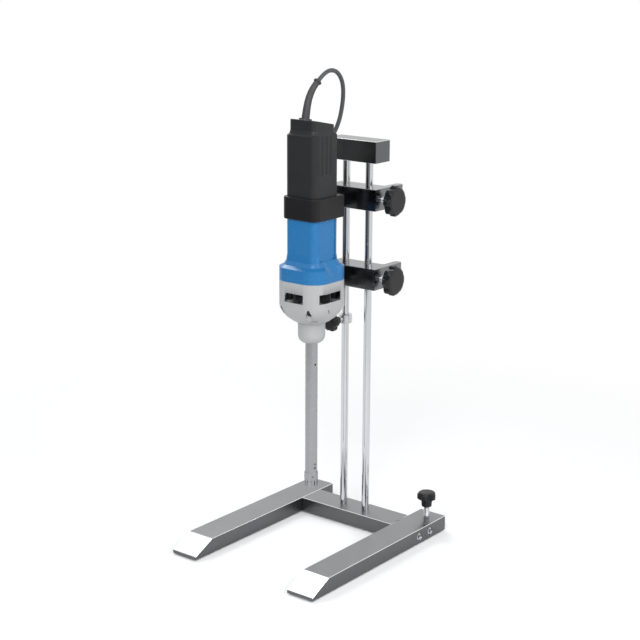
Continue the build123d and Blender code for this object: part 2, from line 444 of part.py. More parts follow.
for sx in (-1, 1):      # small oblique drain slots on the sides
    dslot = Pos(sx * (NOSE_A - 4.0), AX_Y - 9.5, 322.5) * Rot(33, 0, 0) * Box(16.0, 1.5, 6.5)
    nose = nose - dslot
# bosses that take the corner screws, up to the housing
SCR4 = []
for i in range(4):
    t = -pi / 4 + pi / 2 * i
    cx, cy = BOSS_R * cos(t), AX_Y + BOSS_R * sin(t)
    boss = cyl(4.6, 326.0, BLUE_Z0 - SEAM, cx, cy)
    nose = nose + (boss & rsq(NOSE_A - 1, NOSE_R - 1, 318, 400))
    nose = nose - cyl(2.6, 290.0, SEAT_Z, cx, cy) - cone(5.4, 2.6, (cx, cy, 300.0), (cx, cy, SEAT_Z))
    nose = nose - cyl(1.6 + SCREW_CLR, 320, 400, cx, cy)
    SCR4.append((cx, cy))
nose = nose - cyl(BRG_D / 2 + SNUG, BRG_Z0, 335, 0, AX_Y) - cyl(FAN_R + 1.0, FAN_Z0 - 1.0, FAN_Z1 + 1.0, 0, AX_Y)
out("nose_housing", nose)
hs = Plane(origin=(0, 0, 0), z_dir=(0, 0, -1)) * cap_screw(3.2, 32.0, head_h=2.6, head_d=4.6, sock=2.6)
out("housing_screws", [Pos(cx, cy, SEAT_Z - SEAM) * hs for cx, cy in SCR4])
# the blue housing is drilled for them
blue2 = blue
for cx, cy in SCR4:
    blue2 = blue2 + (cyl(4.4, BLUE_Z0 + SEAM, 368.0, cx, cy) & rsq(NOSE_A - 0.5, NOSE_R - 0.5, 300, 500))
    blue2 = blue2 - cyl(1.6 + 0.05, BLUE_Z0 - 1, 366.0, cx, cy)
out("motor_housing", blue2)
made.pop()

# ---------------------------------------------------------------- neck, tube, stator head
nk = Pos(0, AX_Y) * revolve(Plane.XZ * make_face(Polyline(
    (0, NECK_Z0), (9.0, NECK_Z0), (12.6, NECK_Z0 + 1.2), (15.4, NECK_Z0 + 3.6), (16.9, NECK_Z0 + 6.8), (NECK_D / 2, NECK_Z0 + 10.5),
    (NECK_D / 2, NECK_Z1), (0, NECK_Z1), close=True)), Axis.Z)
nk = nk - cyl(TUBE_D / 2 + SNUG, 270, 293.0, 0, AX_Y) - cyl(9.0, 293.0, 310, 0, AX_Y)
out("neck", nk)
CLAMP_R = 8.6
tube = cyl(TUBE_D / 2, HEAD_Z1 + SEAM, 293.0 - SEAM, 0, AX_Y) - cyl(TUBE_BORE / 2, 90, 300, 0, AX_Y)
for z, a0 in ((247.0, 0.0), (107.0, 0.0)):      # breather holes in the tube
    for k in range(3):
        t = radians(a0 + 120 * k - 14)
        tube = tube - rod(1.3, (0, AX_Y, z), (12 * cos(t), AX_Y + 12 * sin(t), z))
tube = tube - rod(1.1, (0, AX_Y, 112.0), (12 * cos(radians(-14)), AX_Y + 12 * sin(radians(-14)), 112.0))
out("shaft_tube", tube)
head = cyl(HEAD_D / 2, HEAD_Z0, HEAD_Z1, 0, AX_Y) + cyl(TUBE_BORE / 2 - SNUG, HEAD_Z1, HEAD_Z1 + 6, 0, AX_Y)
head = try_chamfer(head, head.edges().filter_by(GeomType.CIRCLE).filter_by(lambda e: abs(e.center().Z - HEAD_Z1) < 0.01
                                                                         and e.radius > 8), 0.7)
head = head - cyl(HEAD_BORE / 2, HEAD_Z0 - 1, HEAD_Z1 - 3.2, 0, AX_Y) - cyl(DRIVE_D / 2 + 0.35, HEAD_Z0, HEAD_Z1 + 7, 0, AX_Y)
for i in range(HEAD_SLOTS):
    t = 2 * pi * i / HEAD_SLOTS + radians(8)
    sl = Pos(9.0 * cos(t), AX_Y + 9.0 * sin(t), HEAD_Z0 + HEAD_SLOT_L / 2 - 1) * Rot(0, 0, degrees(t)) \
        * Box(8.0, HEAD_SLOT_W, HEAD_SLOT_L + 2)
    head = head - sl
for k in range(4):
    t = 2 * pi * k / 4 + radians(-38)
    head = head - rod(1.0, (0, AX_Y, HEAD_Z1 - 5.4), (12 * cos(t), AX_Y + 12 * sin(t), HEAD_Z1 - 5.4))
out("stator_head", head)
rot = cyl(ROTOR_D / 2, HEAD_Z0 + 0.6, HEAD_Z1 - 4.0, 0, AX_Y) - cyl(ROTOR_D / 2 - 2.0, HEAD_Z0, HEAD_Z1 - 8.0, 0, AX_Y)
for i in range(ROTOR_TEETH):
    t = 2 * pi * i / ROTOR_TEETH + radians(20)
    rot = rot - Pos(5.5 * cos(t), AX_Y + 5.5 * sin(t), HEAD_Z0 + 4.0) * Rot(0, 0, degrees(t)) * Box(6.0, 5.2, 10.0)
rot = rot + cyl(3.6, HEAD_Z0 + 3.0, HEAD_Z1 - 4.0, 0, AX_Y) - cyl(DRIVE_D / 2 + SNUG, HEAD_Z0 + 5.0, HEAD_Z1, 0, AX_Y)
out("rotor", rot)
CPL_Z0, CPL_Z1 = 300.0, 318.0
ds = cyl(DRIVE_D / 2, HEAD_Z0 + 5.0 + SEAM, CPL_Z0 + 9.0 - SEAM, 0, AX_Y)
out("drive_shaft", ds)
bush = cyl(TUBE_BORE / 2 - SNUG, 0, 10.0) - cyl(DRIVE_D / 2 + FIT, -1, 11)
for k in range(3):
    t = 2 * pi * k / 3
    bush = bush - cyl(1.2, -1, 11, 4.6 * cos(t), 4.6 * sin(t))
out("shaft_bushes", [Pos(0, AX_Y, z) * bush for z in (128.0, 195.0, 262.0)])

# ---------------------------------------------------------------- drive train inside
out("coupling", cyl(6.0, CPL_Z0, CPL_Z1, 0, AX_Y) - cyl(DRIVE_D / 2 + SNUG, CPL_Z0 - 1, CPL_Z0 + 9.0, 0, AX_Y)
    - cyl(SHAFT_D / 2 + SNUG, CPL_Z0 + 9.0, CPL_Z1 + 1, 0, AX_Y))
SH1 = 470.0
shaft = cyl(SHAFT_D / 2, CPL_Z0 + 9.0 + SEAM, SH1, 0, AX_Y)
out("motor_shaft", shaft)


def bearing(z0, d_out, d_in, h):
    b = cyl(d_out / 2, z0, z0 + h, 0, AX_Y) - cyl(d_in / 2, z0 - 1, z0 + h + 1, 0, AX_Y)
    return b - (cyl(d_out / 2 - 1.8, z0 + h - 0.5, z0 + h + 1, 0, AX_Y) - cyl(d_in / 2 + 1.8, z0, z0 + h + 2, 0, AX_Y))


UB_Z = 459.0
out("shaft_bearings", [bearing(z, BRG_D, SHAFT_D + 2 * SNUG, BRG_H) for z in (BRG_Z0 + SEAM, UB_Z)])
fan = cyl(7.0, FAN_Z0, FAN_Z1, 0, AX_Y) + cyl(FAN_R, FAN_Z1 - 1.6, FAN_Z1, 0, AX_Y)
for k in range(9):
    t = 2 * pi * k / 9
    fan = fan + Pos(14.4 * cos(t), AX_Y + 14.4 * sin(t), (FAN_Z0 + FAN_Z1) / 2) * Rot(0, 0, degrees(t) + 18) \
        * Box(16.0, 1.2, FAN_Z1 - FAN_Z0)
fan = fan - cyl(SHAFT_D / 2 + SNUG, 300, 400, 0, AX_Y)
out("fan", fan)
CORE_Z0, CORE_Z1 = 386.0, 426.0
ci = BA - WALL - 0.6 - SNUG
core = rsq(ci, BR - WALL, CORE_Z0, CORE_Z1) - cyl(12.6, 380, 430, 0, AX_Y)
for sx in (-1, 1):
    core = core - block(sx * 15.5 - 4.0, sx * 15.5 + 4.0, AX_Y - 13, AX_Y + 13, 380, 430)
out("field_core", core)
coil = []
for sx in (-1, 1):
    c = block(sx * 15.5 - 3.7, sx * 15.5 + 3.7, AX_Y - 12.7, AX_Y + 12.7, CORE_Z0 - 5.0, CORE_Z1 + 5.0)
    c = try_fillet(c, c.edges().filter_by(Axis.X), 3.0)
    coil.append(c - cyl(12.8, 370, 440, 0, AX_Y))
out("field_windings", coil)
arm_s = cyl(12.1, CORE_Z0, CORE_Z1, 0, AX_Y)
for k in range(10):
    t = 2 * pi * k / 10
    arm_s = arm_s - Pos(11.4 * cos(t), AX_Y + 11.4 * sin(t), 406) * Rot(0, 0, degrees(t)) * Box(3.0, 1.6, 50)
arm_s = arm_s - cyl(SHAFT_D / 2 + SNUG, 300, 500, 0, AX_Y)
out("armature", arm_s)
aw = None
for z0, z1 in ((CORE_Z0 - 5.0, CORE_Z0 - SEAM), (CORE_Z1 + SEAM, CORE_Z1 + 4.0)):
    a = cyl(10.6, z0, z1, 0, AX_Y) - cyl(SHAFT_D / 2 + SNUG, 300, 500, 0, AX_Y)
    aw = [a] if aw is None else aw + [a]
out("armature_windings", aw)
CM_Z0, CM_Z1 = 432.0, 446.0
cm = cyl(7.5, CM_Z0, CM_Z1, 0, AX_Y)
for k in range(12):
    t = 2 * pi * k / 12
    cm = cm - Pos(7.4 * cos(t), AX_Y + 7.4 * sin(t), 440) * Rot(0, 0, degrees(t)) * Box(1.4, 0.5, 30)
cm = cm - cyl(SHAFT_D / 2 + SNUG, 300, 500, 0, AX_Y)
out("commutator", cm)
# brush carrier plate with holders, brushes and springs
BP_Z0 = 447.5
bp = rsq(ci - 0.05, BR - WALL, BP_Z0, BP_Z0 + 3.0) - cyl(9.6, 440, 470, 0, AX_Y)
for sy in (-1, 1):
    y0, y1 = sorted((AX_Y + sy * 9.2, AX_Y + sy * 21.4))
    hold = block(-4.4, 4.4, y0, y1, CM_Z0 + 2.0, BP_Z0 + 0.5)
    bp = bp + hold - block(-3.0 - SNUG, 3.0 + SNUG, y0 - 1, y1 - 0.0 if sy > 0 else y1 + 1, CM_Z0 + 3.6, CM_Z0 + 10.2)
    bp = bp - block(-3.0 - SNUG, 3.0 + SNUG, y0 - 1 if sy > 0 else y0 + 1.2, y1 - 1.2 if sy > 0 else y1 + 1, CM_Z0 + 3.6, CM_Z0 + 10.2)
bp = bp + (cyl(12.6, BP_Z0, UB_Z + BRG_H, 0, AX_Y) - cyl(BRG_D / 2 + SNUG, UB_Z - SEAM, 480, 0, AX_Y)
           - cyl(8.0, BP_Z0 - 1, 480, 0, AX_Y))
out("brush_plate", bp)
br = []
for sy in (-1, 1):
    y0, y1 = sorted((AX_Y + sy * 7.4, AX_Y + sy * 16.5))
    b = block(-3.0, 3.0, y0, y1, CM_Z0 + 3.6 + SNUG, CM_Z0 + 10.2 - SNUG) - cyl(7.5 + FIT, CM_Z0 - 2, CM_Z1 + 2, 0, AX_Y)
    br.append(b)
out("brushes", br)

# ---------------------------------------------------------------- cord boot on the sloping top
bp0 = Plane(origin=BOOT_P, z_dir=BOOT_N)
flange = bp0 * Pos(0, 0, 1.1 + SEAM) * Cylinder(8.0, 2.2)
stem = bp0 * Pos(0, 0, -4.0) * Cylinder(4.5, 8.2)
lockr = bp0 * Pos(0, 0, -6.6) * Cylinder(6.2, 2.4)
boot_pts = [BOOT_P + BOOT_N * 1.0, BOOT_P + Vector(0.8, 5.0, 24.0), BOOT_P + Vector(2.4, 11.4, 37.6), BOOT_P + Vector(4.4, 19.6, 47.0)]
path = Spline(*boot_pts, tangents=[BOOT_N, Vector(0.14, 0.72, 0.70)])
secs = []
for i in range(6):
    u = i / 5
    r = 5.1 - 1.3 * u
    secs.append(Plane(origin=path @ (u * 0.985), z_dir=path % (u * 0.985)) * Circle(r))
bt = loft(secs)
endr = Plane(origin=path @ 1, z_dir=path % 1) * Pos(0, 0, -1.4) * Cylinder(5.2, 2.6)
boot = flange + stem + lockr + bt + try_fillet(endr, endr.edges().filter_by(GeomType.CIRCLE), 0.8)
print("boot end", path @ 1, "dir", path % 1)
out("cord_boot", boot)

# ---------------------------------------------------------------- mains cord, put away as a tied hank
CR = CORD_D / 2
E = path @ 1
ARM_MID = (AX0 + AX1) / 2                # the turns go round both arms
ARM_HALF = (AX1 - AX0) / 2
FOLD_R = 3.0 * CORD_D                    # centreline radius at the folds
DIP = sqrt((FOLD_R - CR) ** 2 - ARM_HALF ** 2)
FOLD_TOP = CL_UP_Z + KEY[3] - SNUG - DIP + SEAM      # centres of the upper and lower folds
FOLD_LOW = CL_LO_Z - 6.9 + DIP - SEAM
TURN_Y0 = -57.9                          # nearest the motor
INNER_TURNS, OUTER_TURNS = 3, 2
IN_Y = TURN_Y0 + CORD_D * (INNER_TURNS - 0.5)        # first turn, farthest from the motor
RUN = [(E.X, E.Y, E.Z), (E.X + 1.2, -76.0, 613.0), (E.X + 2.2, -63.6, 617.6), (E.X + 2.2, -50.0, 615.2),
       (1.6, -38.8, 605.8), (-1.2, -30.6, 592.0), (-5.2, -27.0, 571.0), (-9.6, -29.0, 547.0), (-20.0, -36.0, 522.0),
       (-34.5, -41.6, 501.0), (ARM_MID - FOLD_R, IN_Y, FOLD_TOP + 32.0), (ARM_MID - FOLD_R, IN_Y, FOLD_TOP + 14.0)]
PLUG_X, PLUG_Y, PLUG_Z, PLUG_W, PLUG_D, PLUG_H = -62.0, -49.9, 330.0, 22.0, 18.0, 34.0
OUT_Y = TURN_Y0 + CORD_D * 1.5 - 0.25               # over the last outer turn
TAIL = [(ARM_MID + 7.4, OUT_Y, FOLD_TOP + 27.7), (ARM_MID - 7.4, OUT_Y, FOLD_TOP + 27.7),
        (ARM_MID - 20.3, OUT_Y, FOLD_TOP + 20.3), (ARM_MID - 27.7, OUT_Y, FOLD_TOP + 7.4),
        (ARM_MID - 28.4, OUT_Y, FOLD_TOP - 10.0), (ARM_MID - 30.8, OUT_Y, FOLD_TOP - 28.0),
        (ARM_MID - 34.8, OUT_Y, FOLD_TOP - 44.0), (PLUG_X, PLUG_Y, FOLD_TOP - 58.0), (PLUG_X, PLUG_Y, PLUG_Z + PLUG_H + 15.0)]


def tube_path(pts):
    """Straight runs joined by tangent arcs as large as the runs allow."""
    v = [Vector(*p) for p in pts]
    rad = []
    for a, b, c in zip(v, v[1:], v[2:]):
        turn = radians((b - a).get_angle(c - b))
        rad.append(0.45 * min((b - a).length, (c - b).length) / tan(turn / 2))
    print("cord radii", [round(r, 1) for r in rad])
    return FilletPolyline(*pts, radius=rad)


wire = tube_path(RUN)
run = sweep(Plane(origin=wire @ 0, z_dir=wire % 0) * Circle(CR), wire)
print("cord run", round(wire.length, 1), "mm, volume ratio", round(run.volume / (pi * CR ** 2 * wire.length), 4))
out("cord_run", run)
tw = tube_path(TAIL)
tail = sweep(Plane(origin=tw @ 0, z_dir=tw % 0) * Circle(CR), tw)
print("cord tail", round(tw.length, 1), "mm, volume ratio", round(tail.volume / (pi * CR ** 2 * tw.length), 4))
out("cord_tail", tail)


def stadium(r, y0, y1):
    """Long round-ended plate round the two fold centres."""
    s = rod(r, (ARM_MID, y0, FOLD_TOP), (ARM_MID, y1, FOLD_TOP)) + rod(r, (ARM_MID, y0, FOLD_LOW), (ARM_MID, y1, FOLD_LOW))
    return s + block(ARM_MID - r, ARM_MID + r, y0, y1, FOLD_LOW, FOLD_TOP)


hank = stadium(FOLD_R + CR, TURN_Y0, TURN_Y0 + INNER_TURNS * CORD_D)
hank = hank + stadium(FOLD_R + CR + CORD_D, TURN_Y0, TURN_Y0 + OUTER_TURNS * CORD_D)
hank = hank + cyl(CR, FOLD_TOP, RUN[-1][2] - SEAM, RUN[-1][0], RUN[-1][1])
hank = hank - stadium(FOLD_R - CR, TURN_Y0 - 5, TURN_Y0 + 60)
out("cord_hank", hank)
turn = 2 * (FOLD_TOP - FOLD_LOW)
hl = INNER_TURNS * (turn + 2 * pi * FOLD_R) + OUTER_TURNS * (turn + 2 * pi * (FOLD_R + CORD_D))
print("hank", round(hl, 1), "cord in all", round(hl + wire.length + tw.length, 1), "run straight", round(turn / 2, 1))
# moulded plug with two blades and a round earth pin, blades down
pl = block(PLUG_X - PLUG_W / 2, PLUG_X + PLUG_W / 2, PLUG_Y - PLUG_D / 2, PLUG_Y + PLUG_D / 2, PLUG_Z, PLUG_Z + PLUG_H)
pl = try_fillet(pl, pl.edges().filter_by(Axis.Z), 5.0)
pl = try_fillet(pl, edges_at(pl, PLUG_Z + PLUG_H), 4.0)
pl = pl + Pos(PLUG_X, PLUG_Y, PLUG_Z + PLUG_H + 6.5) * Cone(6.0, 4.0, 15.0)
for sx in (-1, 1):
    pl = pl + block(PLUG_X + sx * 6.35 - 0.8, PLUG_X + sx * 6.35 + 0.8, PLUG_Y - 5.5, PLUG_Y + 0.8, PLUG_Z - 18.0, PLUG_Z + 1)
pl = pl + cyl(2.2, PLUG_Z - 20.0, PLUG_Z + 1, PLUG_X, PLUG_Y + 5.6)
pl = pl - cyl(CR + SEAM, PLUG_Z + PLUG_H + 14.98, 500, PLUG_X, PLUG_Y)
out("power_plug", pl)
TIE_Z, TIE_T, TIE_H = 356.0, 1.2, 10.0
tx0, tx1 = PLUG_X - PLUG_W / 2 - 0.3, ARM_MID - FOLD_R + CR + 0.3
ty0, ty1 = min(TURN_Y0, PLUG_Y - PLUG_D / 2) - 0.3, max(TURN_Y0 + INNER_TURNS * CORD_D, PLUG_Y + PLUG_D / 2) + 0.3
tie = block(tx0 - TIE_T, tx1 + TIE_T, ty0 - TIE_T, ty1 + TIE_T, TIE_Z - TIE_H / 2, TIE_Z + TIE_H / 2)
tie = try_fillet(tie, tie.edges().filter_by(Axis.Z), 1.6)
core_t = block(tx0, tx1, ty0, ty1, TIE_Z - 20, TIE_Z + 20)
tie = tie - try_fillet(core_t, core_t.edges().filter_by(Axis.Z), 0.4)
out("cord_tie", tie)
print(len(made), "nodes", sorted(made))
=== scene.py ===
"""Rotor stator homogenizer on a two-column bench stand: surfaces, mains cord, stage and camera.

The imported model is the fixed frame: X runs along the crossbar, +Y is the rear, the bench is Z = 0, in metres.
Each operator finishes one group of pieces; main() calls them in order.
"""
import math

import bmesh
import bpy
from bpy.props import FloatProperty, FloatVectorProperty, PointerProperty
from mathutils import Matrix, Vector


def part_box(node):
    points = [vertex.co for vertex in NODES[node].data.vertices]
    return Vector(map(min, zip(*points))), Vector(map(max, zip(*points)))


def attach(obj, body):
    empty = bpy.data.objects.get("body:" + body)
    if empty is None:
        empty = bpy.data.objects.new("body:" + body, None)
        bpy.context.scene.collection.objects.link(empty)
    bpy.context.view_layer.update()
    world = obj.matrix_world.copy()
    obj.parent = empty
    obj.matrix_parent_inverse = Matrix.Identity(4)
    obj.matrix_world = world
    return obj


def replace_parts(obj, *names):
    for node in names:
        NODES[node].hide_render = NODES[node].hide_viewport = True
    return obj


bl_info = {
    "name": "Rotor Stator Homogenizer",
    "version": (1, 0, 0),
    "blender": (4, 5, 0),
    "location": "View3D > Sidebar > Homogenizer",
    "description": "Surfaces, threads, mains cord and stage for a bench homogenizer",
    "category": "Object",
}

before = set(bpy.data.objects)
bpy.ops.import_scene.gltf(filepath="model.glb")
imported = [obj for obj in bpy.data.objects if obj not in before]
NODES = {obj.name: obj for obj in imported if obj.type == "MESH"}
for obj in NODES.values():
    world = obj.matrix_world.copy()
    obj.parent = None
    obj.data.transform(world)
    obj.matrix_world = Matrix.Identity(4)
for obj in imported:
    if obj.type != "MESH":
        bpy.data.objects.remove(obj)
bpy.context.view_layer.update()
ORIGIN_Y = 93.5          # the columns stand this far behind the middle of the footprint, in mm


def mm(x, y, z):
    """A point laid out from the columns in mm, as a point of the frame in metres."""
    return Vector((x, y + ORIGIN_Y, z)) / 1000.0


def tint(name, text, rgb):
    return FloatVectorProperty(name=name, description=text, subtype="COLOR", size=3, min=0.0, max=1.0,
                               default=rgb)


def length(name, text, value):
    return FloatProperty(name=name, description=text, subtype="DISTANCE", unit="LENGTH", min=0.0,
                         default=value)


# ------------------------------------------------------------------ properties
class StandProps(bpy.types.PropertyGroup):
    bar: tint("Bar face", "Colour of the upper faces of the flat bars", (0.255, 0.26, 0.265))
    # the next two colours are painted light: painted shade on the upright sides of the bars, and a painted
    # highlight on their chamfers and toe bevels
    bar_side_shade: tint("Bar side shade", "Painted shade on the sides of the flat bars", (0.135, 0.138, 0.142))
    bar_bevel_highlight: tint("Bar bevel highlight", "Painted highlight on the chamfers and toe bevels", (0.88, 0.885, 0.89))
    clamp: tint("Clamp metal", "Colour of the two clamp bars", (0.20, 0.205, 0.215))
    plating: tint("Chrome", "Colour of the bright plated columns and studs", (0.60, 0.61, 0.63))
    knob: tint("Knob plastic", "Colour of the star knobs", (0.010, 0.010, 0.011))
    grain_scale: FloatProperty(name="Bar grain", description="How fine the satin grain of the bars is",
                               default=900.0)
    thread_depth: length("Thread depth", "Depth of the screw threads", 0.00055)


class MotorProps(bpy.types.PropertyGroup):
    housing: tint("Motor housing", "Colour of the blue motor housing", (0.014, 0.138, 0.34))
    nose: tint("Gear nose", "Colour of the light grey nose and neck", (0.345, 0.352, 0.358))
    grip: tint("Grip", "Colour of the black handle", (0.014, 0.0145, 0.0155))
    holder: tint("Holder", "Colour of the black holder ring", (0.009, 0.009, 0.010))
    tube: tint("Shaft steel", "Colour of the ground stainless shaft", (0.36, 0.37, 0.38))
    texture: length("Grip texture", "Size of the fine texture moulded on the grip", 0.0009)


class CordProps(bpy.types.PropertyGroup):
    diameter: length("Diameter", "Diameter of the mains cord", 0.0055)
    jacket: tint("Jacket", "Colour of the cord's jacket", (0.050, 0.052, 0.058))
    fold_radius: length("Fold radius", "Radius of the inner turns of the hank", 0.0165)
    strap: tint("Strap", "Colour of the hook and loop strap", (0.020, 0.020, 0.022))


class StageProps(bpy.types.PropertyGroup):
    floor: tint("Floor", "Colour of the floor", (0.86, 0.87, 0.88))
    key_power: FloatProperty(name="Key light", description="Power of the large soft light", unit="POWER",
                             default=22.0)
    corner_power: FloatProperty(name="Corner light",
                                description="Power of the low strip that lights the round corners",
                                unit="POWER", default=2.2)
    rim_power: FloatProperty(name="Side light", description="Power of the side light", unit="POWER",
                             default=9.0)
    white_from: length("White from", "Distance from the object at which the floor starts to fade to white",
                       0.30)
    white_to: length("White to", "Distance at which the floor is plain white", 1.00)
    sky: FloatProperty(name="Sky", description="Strength of the light from all round", default=0.62)


# ------------------------------------------------------------------ small node helpers
def add(tree, kind, inputs=None, **props):
    node = tree.nodes.new(kind)
    for k, v in props.items():
        setattr(node, k, v)
    for k, v in (inputs or {}).items():
        sock = node.inputs[k]
        if isinstance(v, bpy.types.NodeSocket):
            tree.links.new(v, sock)
        else:
            sock.default_value = v
    return node


def group(name, kind, ins, outs):
    """A new node group with its named sockets; returns tree, input node, output node."""
    tree = bpy.data.node_groups.new(name, kind)
    for nm, typ, val in ins:
        s = tree.interface.new_socket(nm, in_out="INPUT", socket_type=typ)
        if val is not None:
            s.default_value = val
    for nm, typ in outs:
        tree.interface.new_socket(nm, in_out="OUTPUT", socket_type=typ)
    return tree, tree.nodes.new("NodeGroupInput"), tree.nodes.new("NodeGroupOutput")


def math_node(tree, op, a, b=0.0, c=0.0):
    n = add(tree, "ShaderNodeMath", operation=op)
    for i, v in enumerate((a, b, c)):
        if isinstance(v, bpy.types.NodeSocket):
            tree.links.new(v, n.inputs[i])
        else:
            n.inputs[i].default_value = v
    return n.outputs[0]


def looked_at(tree):
    """1 where a camera, a reflection or a glass looks, 0 for light that falls on other surfaces."""
    path = add(tree, "ShaderNodeLightPath").outputs
    seen = math_node(tree, "MAXIMUM", path["Is Camera Ray"], path["Is Glossy Ray"])
    return math_node(tree, "MAXIMUM", seen, path["Is Transmission Ray"])


F, C, V = "NodeSocketFloat", "NodeSocketColor", "NodeSocketVector"


def relief_group():
    """Fine moulded or blasted relief: a bumped normal and its height."""
    t, i, o = group("FineRelief", "ShaderNodeTree", [("Scale", F, 900.0), ("Depth", F, 0.1)],
                    [("Normal", V), ("Height", F)])
    co = add(t, "ShaderNodeTexCoord").outputs["Object"]
    n = add(t, "ShaderNodeTexNoise", {"Vector": co, "Scale": i.outputs["Scale"], "Detail": 3.0,
                                      "Roughness": 0.55})
    b = add(t, "ShaderNodeBump", {"Strength": i.outputs["Depth"], "Distance": 0.0003, "Height": n.outputs[0]})
    t.links.new(b.outputs[0], o.inputs["Normal"])
    t.links.new(n.outputs[0], o.inputs["Height"])
    return t


def grain_group():
    """Long satin grain: noise drawn out along the axis with the smallest stretch."""
    t, i, o = group("SatinGrain", "ShaderNodeTree",
                    [("Stretch", V, (1.0, 1.0, 1.0)), ("Scale", F, 900.0), ("Depth", F, 0.05)],
                    [("Normal", V), ("Line", F)])
    co = add(t, "ShaderNodeTexCoord").outputs["Object"]
    m = add(t, "ShaderNodeVectorMath", operation="MULTIPLY")
    t.links.new(co, m.inputs[0])
    t.links.new(i.outputs["Stretch"], m.inputs[1])
    n = add(t, "ShaderNodeTexNoise", {"Vector": m.outputs[0], "Scale": i.outputs["Scale"], "Detail": 4.0,
                                      "Roughness": 0.6})
    b = add(t, "ShaderNodeBump", {"Strength": i.outputs["Depth"], "Distance": 0.0002, "Height": n.outputs[0]})
    t.links.new(b.outputs[0], o.inputs["Normal"])
    t.links.new(n.outputs[0], o.inputs["Line"])
    return t


def drift_group():
    """Slow drift of tone over a piece, as handling and moulding leave it."""
    t, i, o = group("ToneDrift", "ShaderNodeTree",
                    [("Color", C, (0.5, 0.5, 0.5, 1.0)), ("Scale", F, 14.0), ("Amount", F, 0.1)],
                    [("Color", C), ("Mask", F)])
    co = add(t, "ShaderNodeTexCoord").outputs["Object"]
    n = add(t, "ShaderNodeTexNoise", {"Vector": co, "Scale": i.outputs["Scale"], "Detail": 5.0,
                                      "Roughness": 0.6})
    centred = math_node(t, "SUBTRACT", n.outputs[0], 0.5)
    gain = math_node(t, "MULTIPLY_ADD", centred, i.outputs["Amount"], 1.0)
    m = add(t, "ShaderNodeVectorMath", operation="SCALE")
    t.links.new(i.outputs["Color"], m.inputs[0])
    t.links.new(gain, m.inputs["Scale"])
    t.links.new(m.outputs[0], o.inputs["Color"])
    t.links.new(n.outputs[0], o.inputs["Mask"])
    return t


def wear_group():
    """Roughness that wanders between two values, with rarer smooth rubbed patches."""
    t, i, o = group("RubbedFinish", "ShaderNodeTree",
                    [("Smooth", F, 0.3), ("Rough", F, 0.5), ("Scale", F, 30.0)], [("Roughness", F)])
    co = add(t, "ShaderNodeTexCoord").outputs["Object"]
    n = add(t, "ShaderNodeTexNoise", {"Vector": co, "Scale": i.outputs["Scale"], "Detail": 6.0,
                                      "Roughness": 0.65})
    r = add(t, "ShaderNodeMapRange", {"Value": n.outputs[0], "From Min": 0.36, "From Max": 0.62,
                                      "To Min": i.outputs["Smooth"], "To Max": i.outputs["Rough"]})
    t.links.new(r.outputs[0], o.inputs["Roughness"])
    return t


def use(mat, name, **inputs):
    n = mat.node_tree.nodes.new("ShaderNodeGroup")
    n.node_tree = bpy.data.node_groups[name]
    for k, v in inputs.items():
        if isinstance(v, bpy.types.NodeSocket):
            mat.node_tree.links.new(v, n.inputs[k])
        else:
            n.inputs[k].default_value = v
    return n


def finish(name, rgb, metallic=0.0, rough=(0.35, 0.5), wear_scale=30.0, relief=(900.0, 0.1), grain=None,
           drift=(14.0, 0.12), **fixed):
    """A Principled material from the shared groups; grain is (stretch, scale, depth) for satin metal."""
    m = bpy.data.materials.new(name)
    m.use_nodes = True
    t = m.node_tree
    p = t.nodes["Principled BSDF"]
    p.inputs["Metallic"].default_value = metallic
    for k, v in fixed.items():
        p.inputs[k.replace("_", " ")].default_value = v
    d = use(m, "ToneDrift", Color=(*rgb, 1.0), Scale=drift[0], Amount=drift[1])
    t.links.new(d.outputs["Color"], p.inputs["Base Color"])
    w = use(m, "RubbedFinish", Smooth=rough[0], Rough=rough[1], Scale=wear_scale)
    t.links.new(w.outputs[0], p.inputs["Roughness"])
    if grain:
        g = use(m, "SatinGrain", Stretch=grain[0], Scale=grain[1], Depth=grain[2])
    else:
        g = use(m, "FineRelief", Scale=relief[0], Depth=relief[1])
    t.links.new(g.outputs["Normal"], p.inputs["Normal"])
    return m


def paint_where(mat, mask, rgb):
    """Lay another base colour over a material where the mask is 1."""
    base = mat.node_tree.nodes["Principled BSDF"].inputs["Base Color"]
    mixer = add(mat.node_tree, "ShaderNodeMix", {"Factor": mask, 6: base.links[0].from_socket,
                                                 7: (*rgb, 1.0)},
                data_type="RGBA")
    mat.node_tree.links.new(mixer.outputs[2], base)


def dress(material, *nodes):
    """Give CAD nodes their material."""
    for n in nodes:
        ob = NODES[n]
        for s in ob.material_slots:
            s.material = material


# ------------------------------------------------------------------ geometry helpers
def placed(name, data):
    """A new object in the scene."""
    ob = bpy.data.objects.new(name, data)
    bpy.context.scene.collection.objects.link(ob)
    return ob


def socket_id(tree, name):
    return next(s.identifier for s in tree.interface.items_tree
                if getattr(s, "in_out", "") == "INPUT" and s.name == name)


def grown(name, tree, values):
    """Run a Geometry Nodes tree on an empty mesh and keep the result as a plain mesh object."""
    ob = placed(name + "_gn", bpy.data.meshes.new(name + "_gn"))
    mod = ob.modifiers.new("grow", "NODES")
    mod.node_group = tree
    for k, v in values.items():
        mod[socket_id(tree, k)] = v
    dg = bpy.context.evaluated_depsgraph_get()
    mesh = bpy.data.meshes.new_from_object(ob.evaluated_get(dg), depsgraph=dg)
    bpy.data.objects.remove(ob)
    mesh.name = name
    return mesh


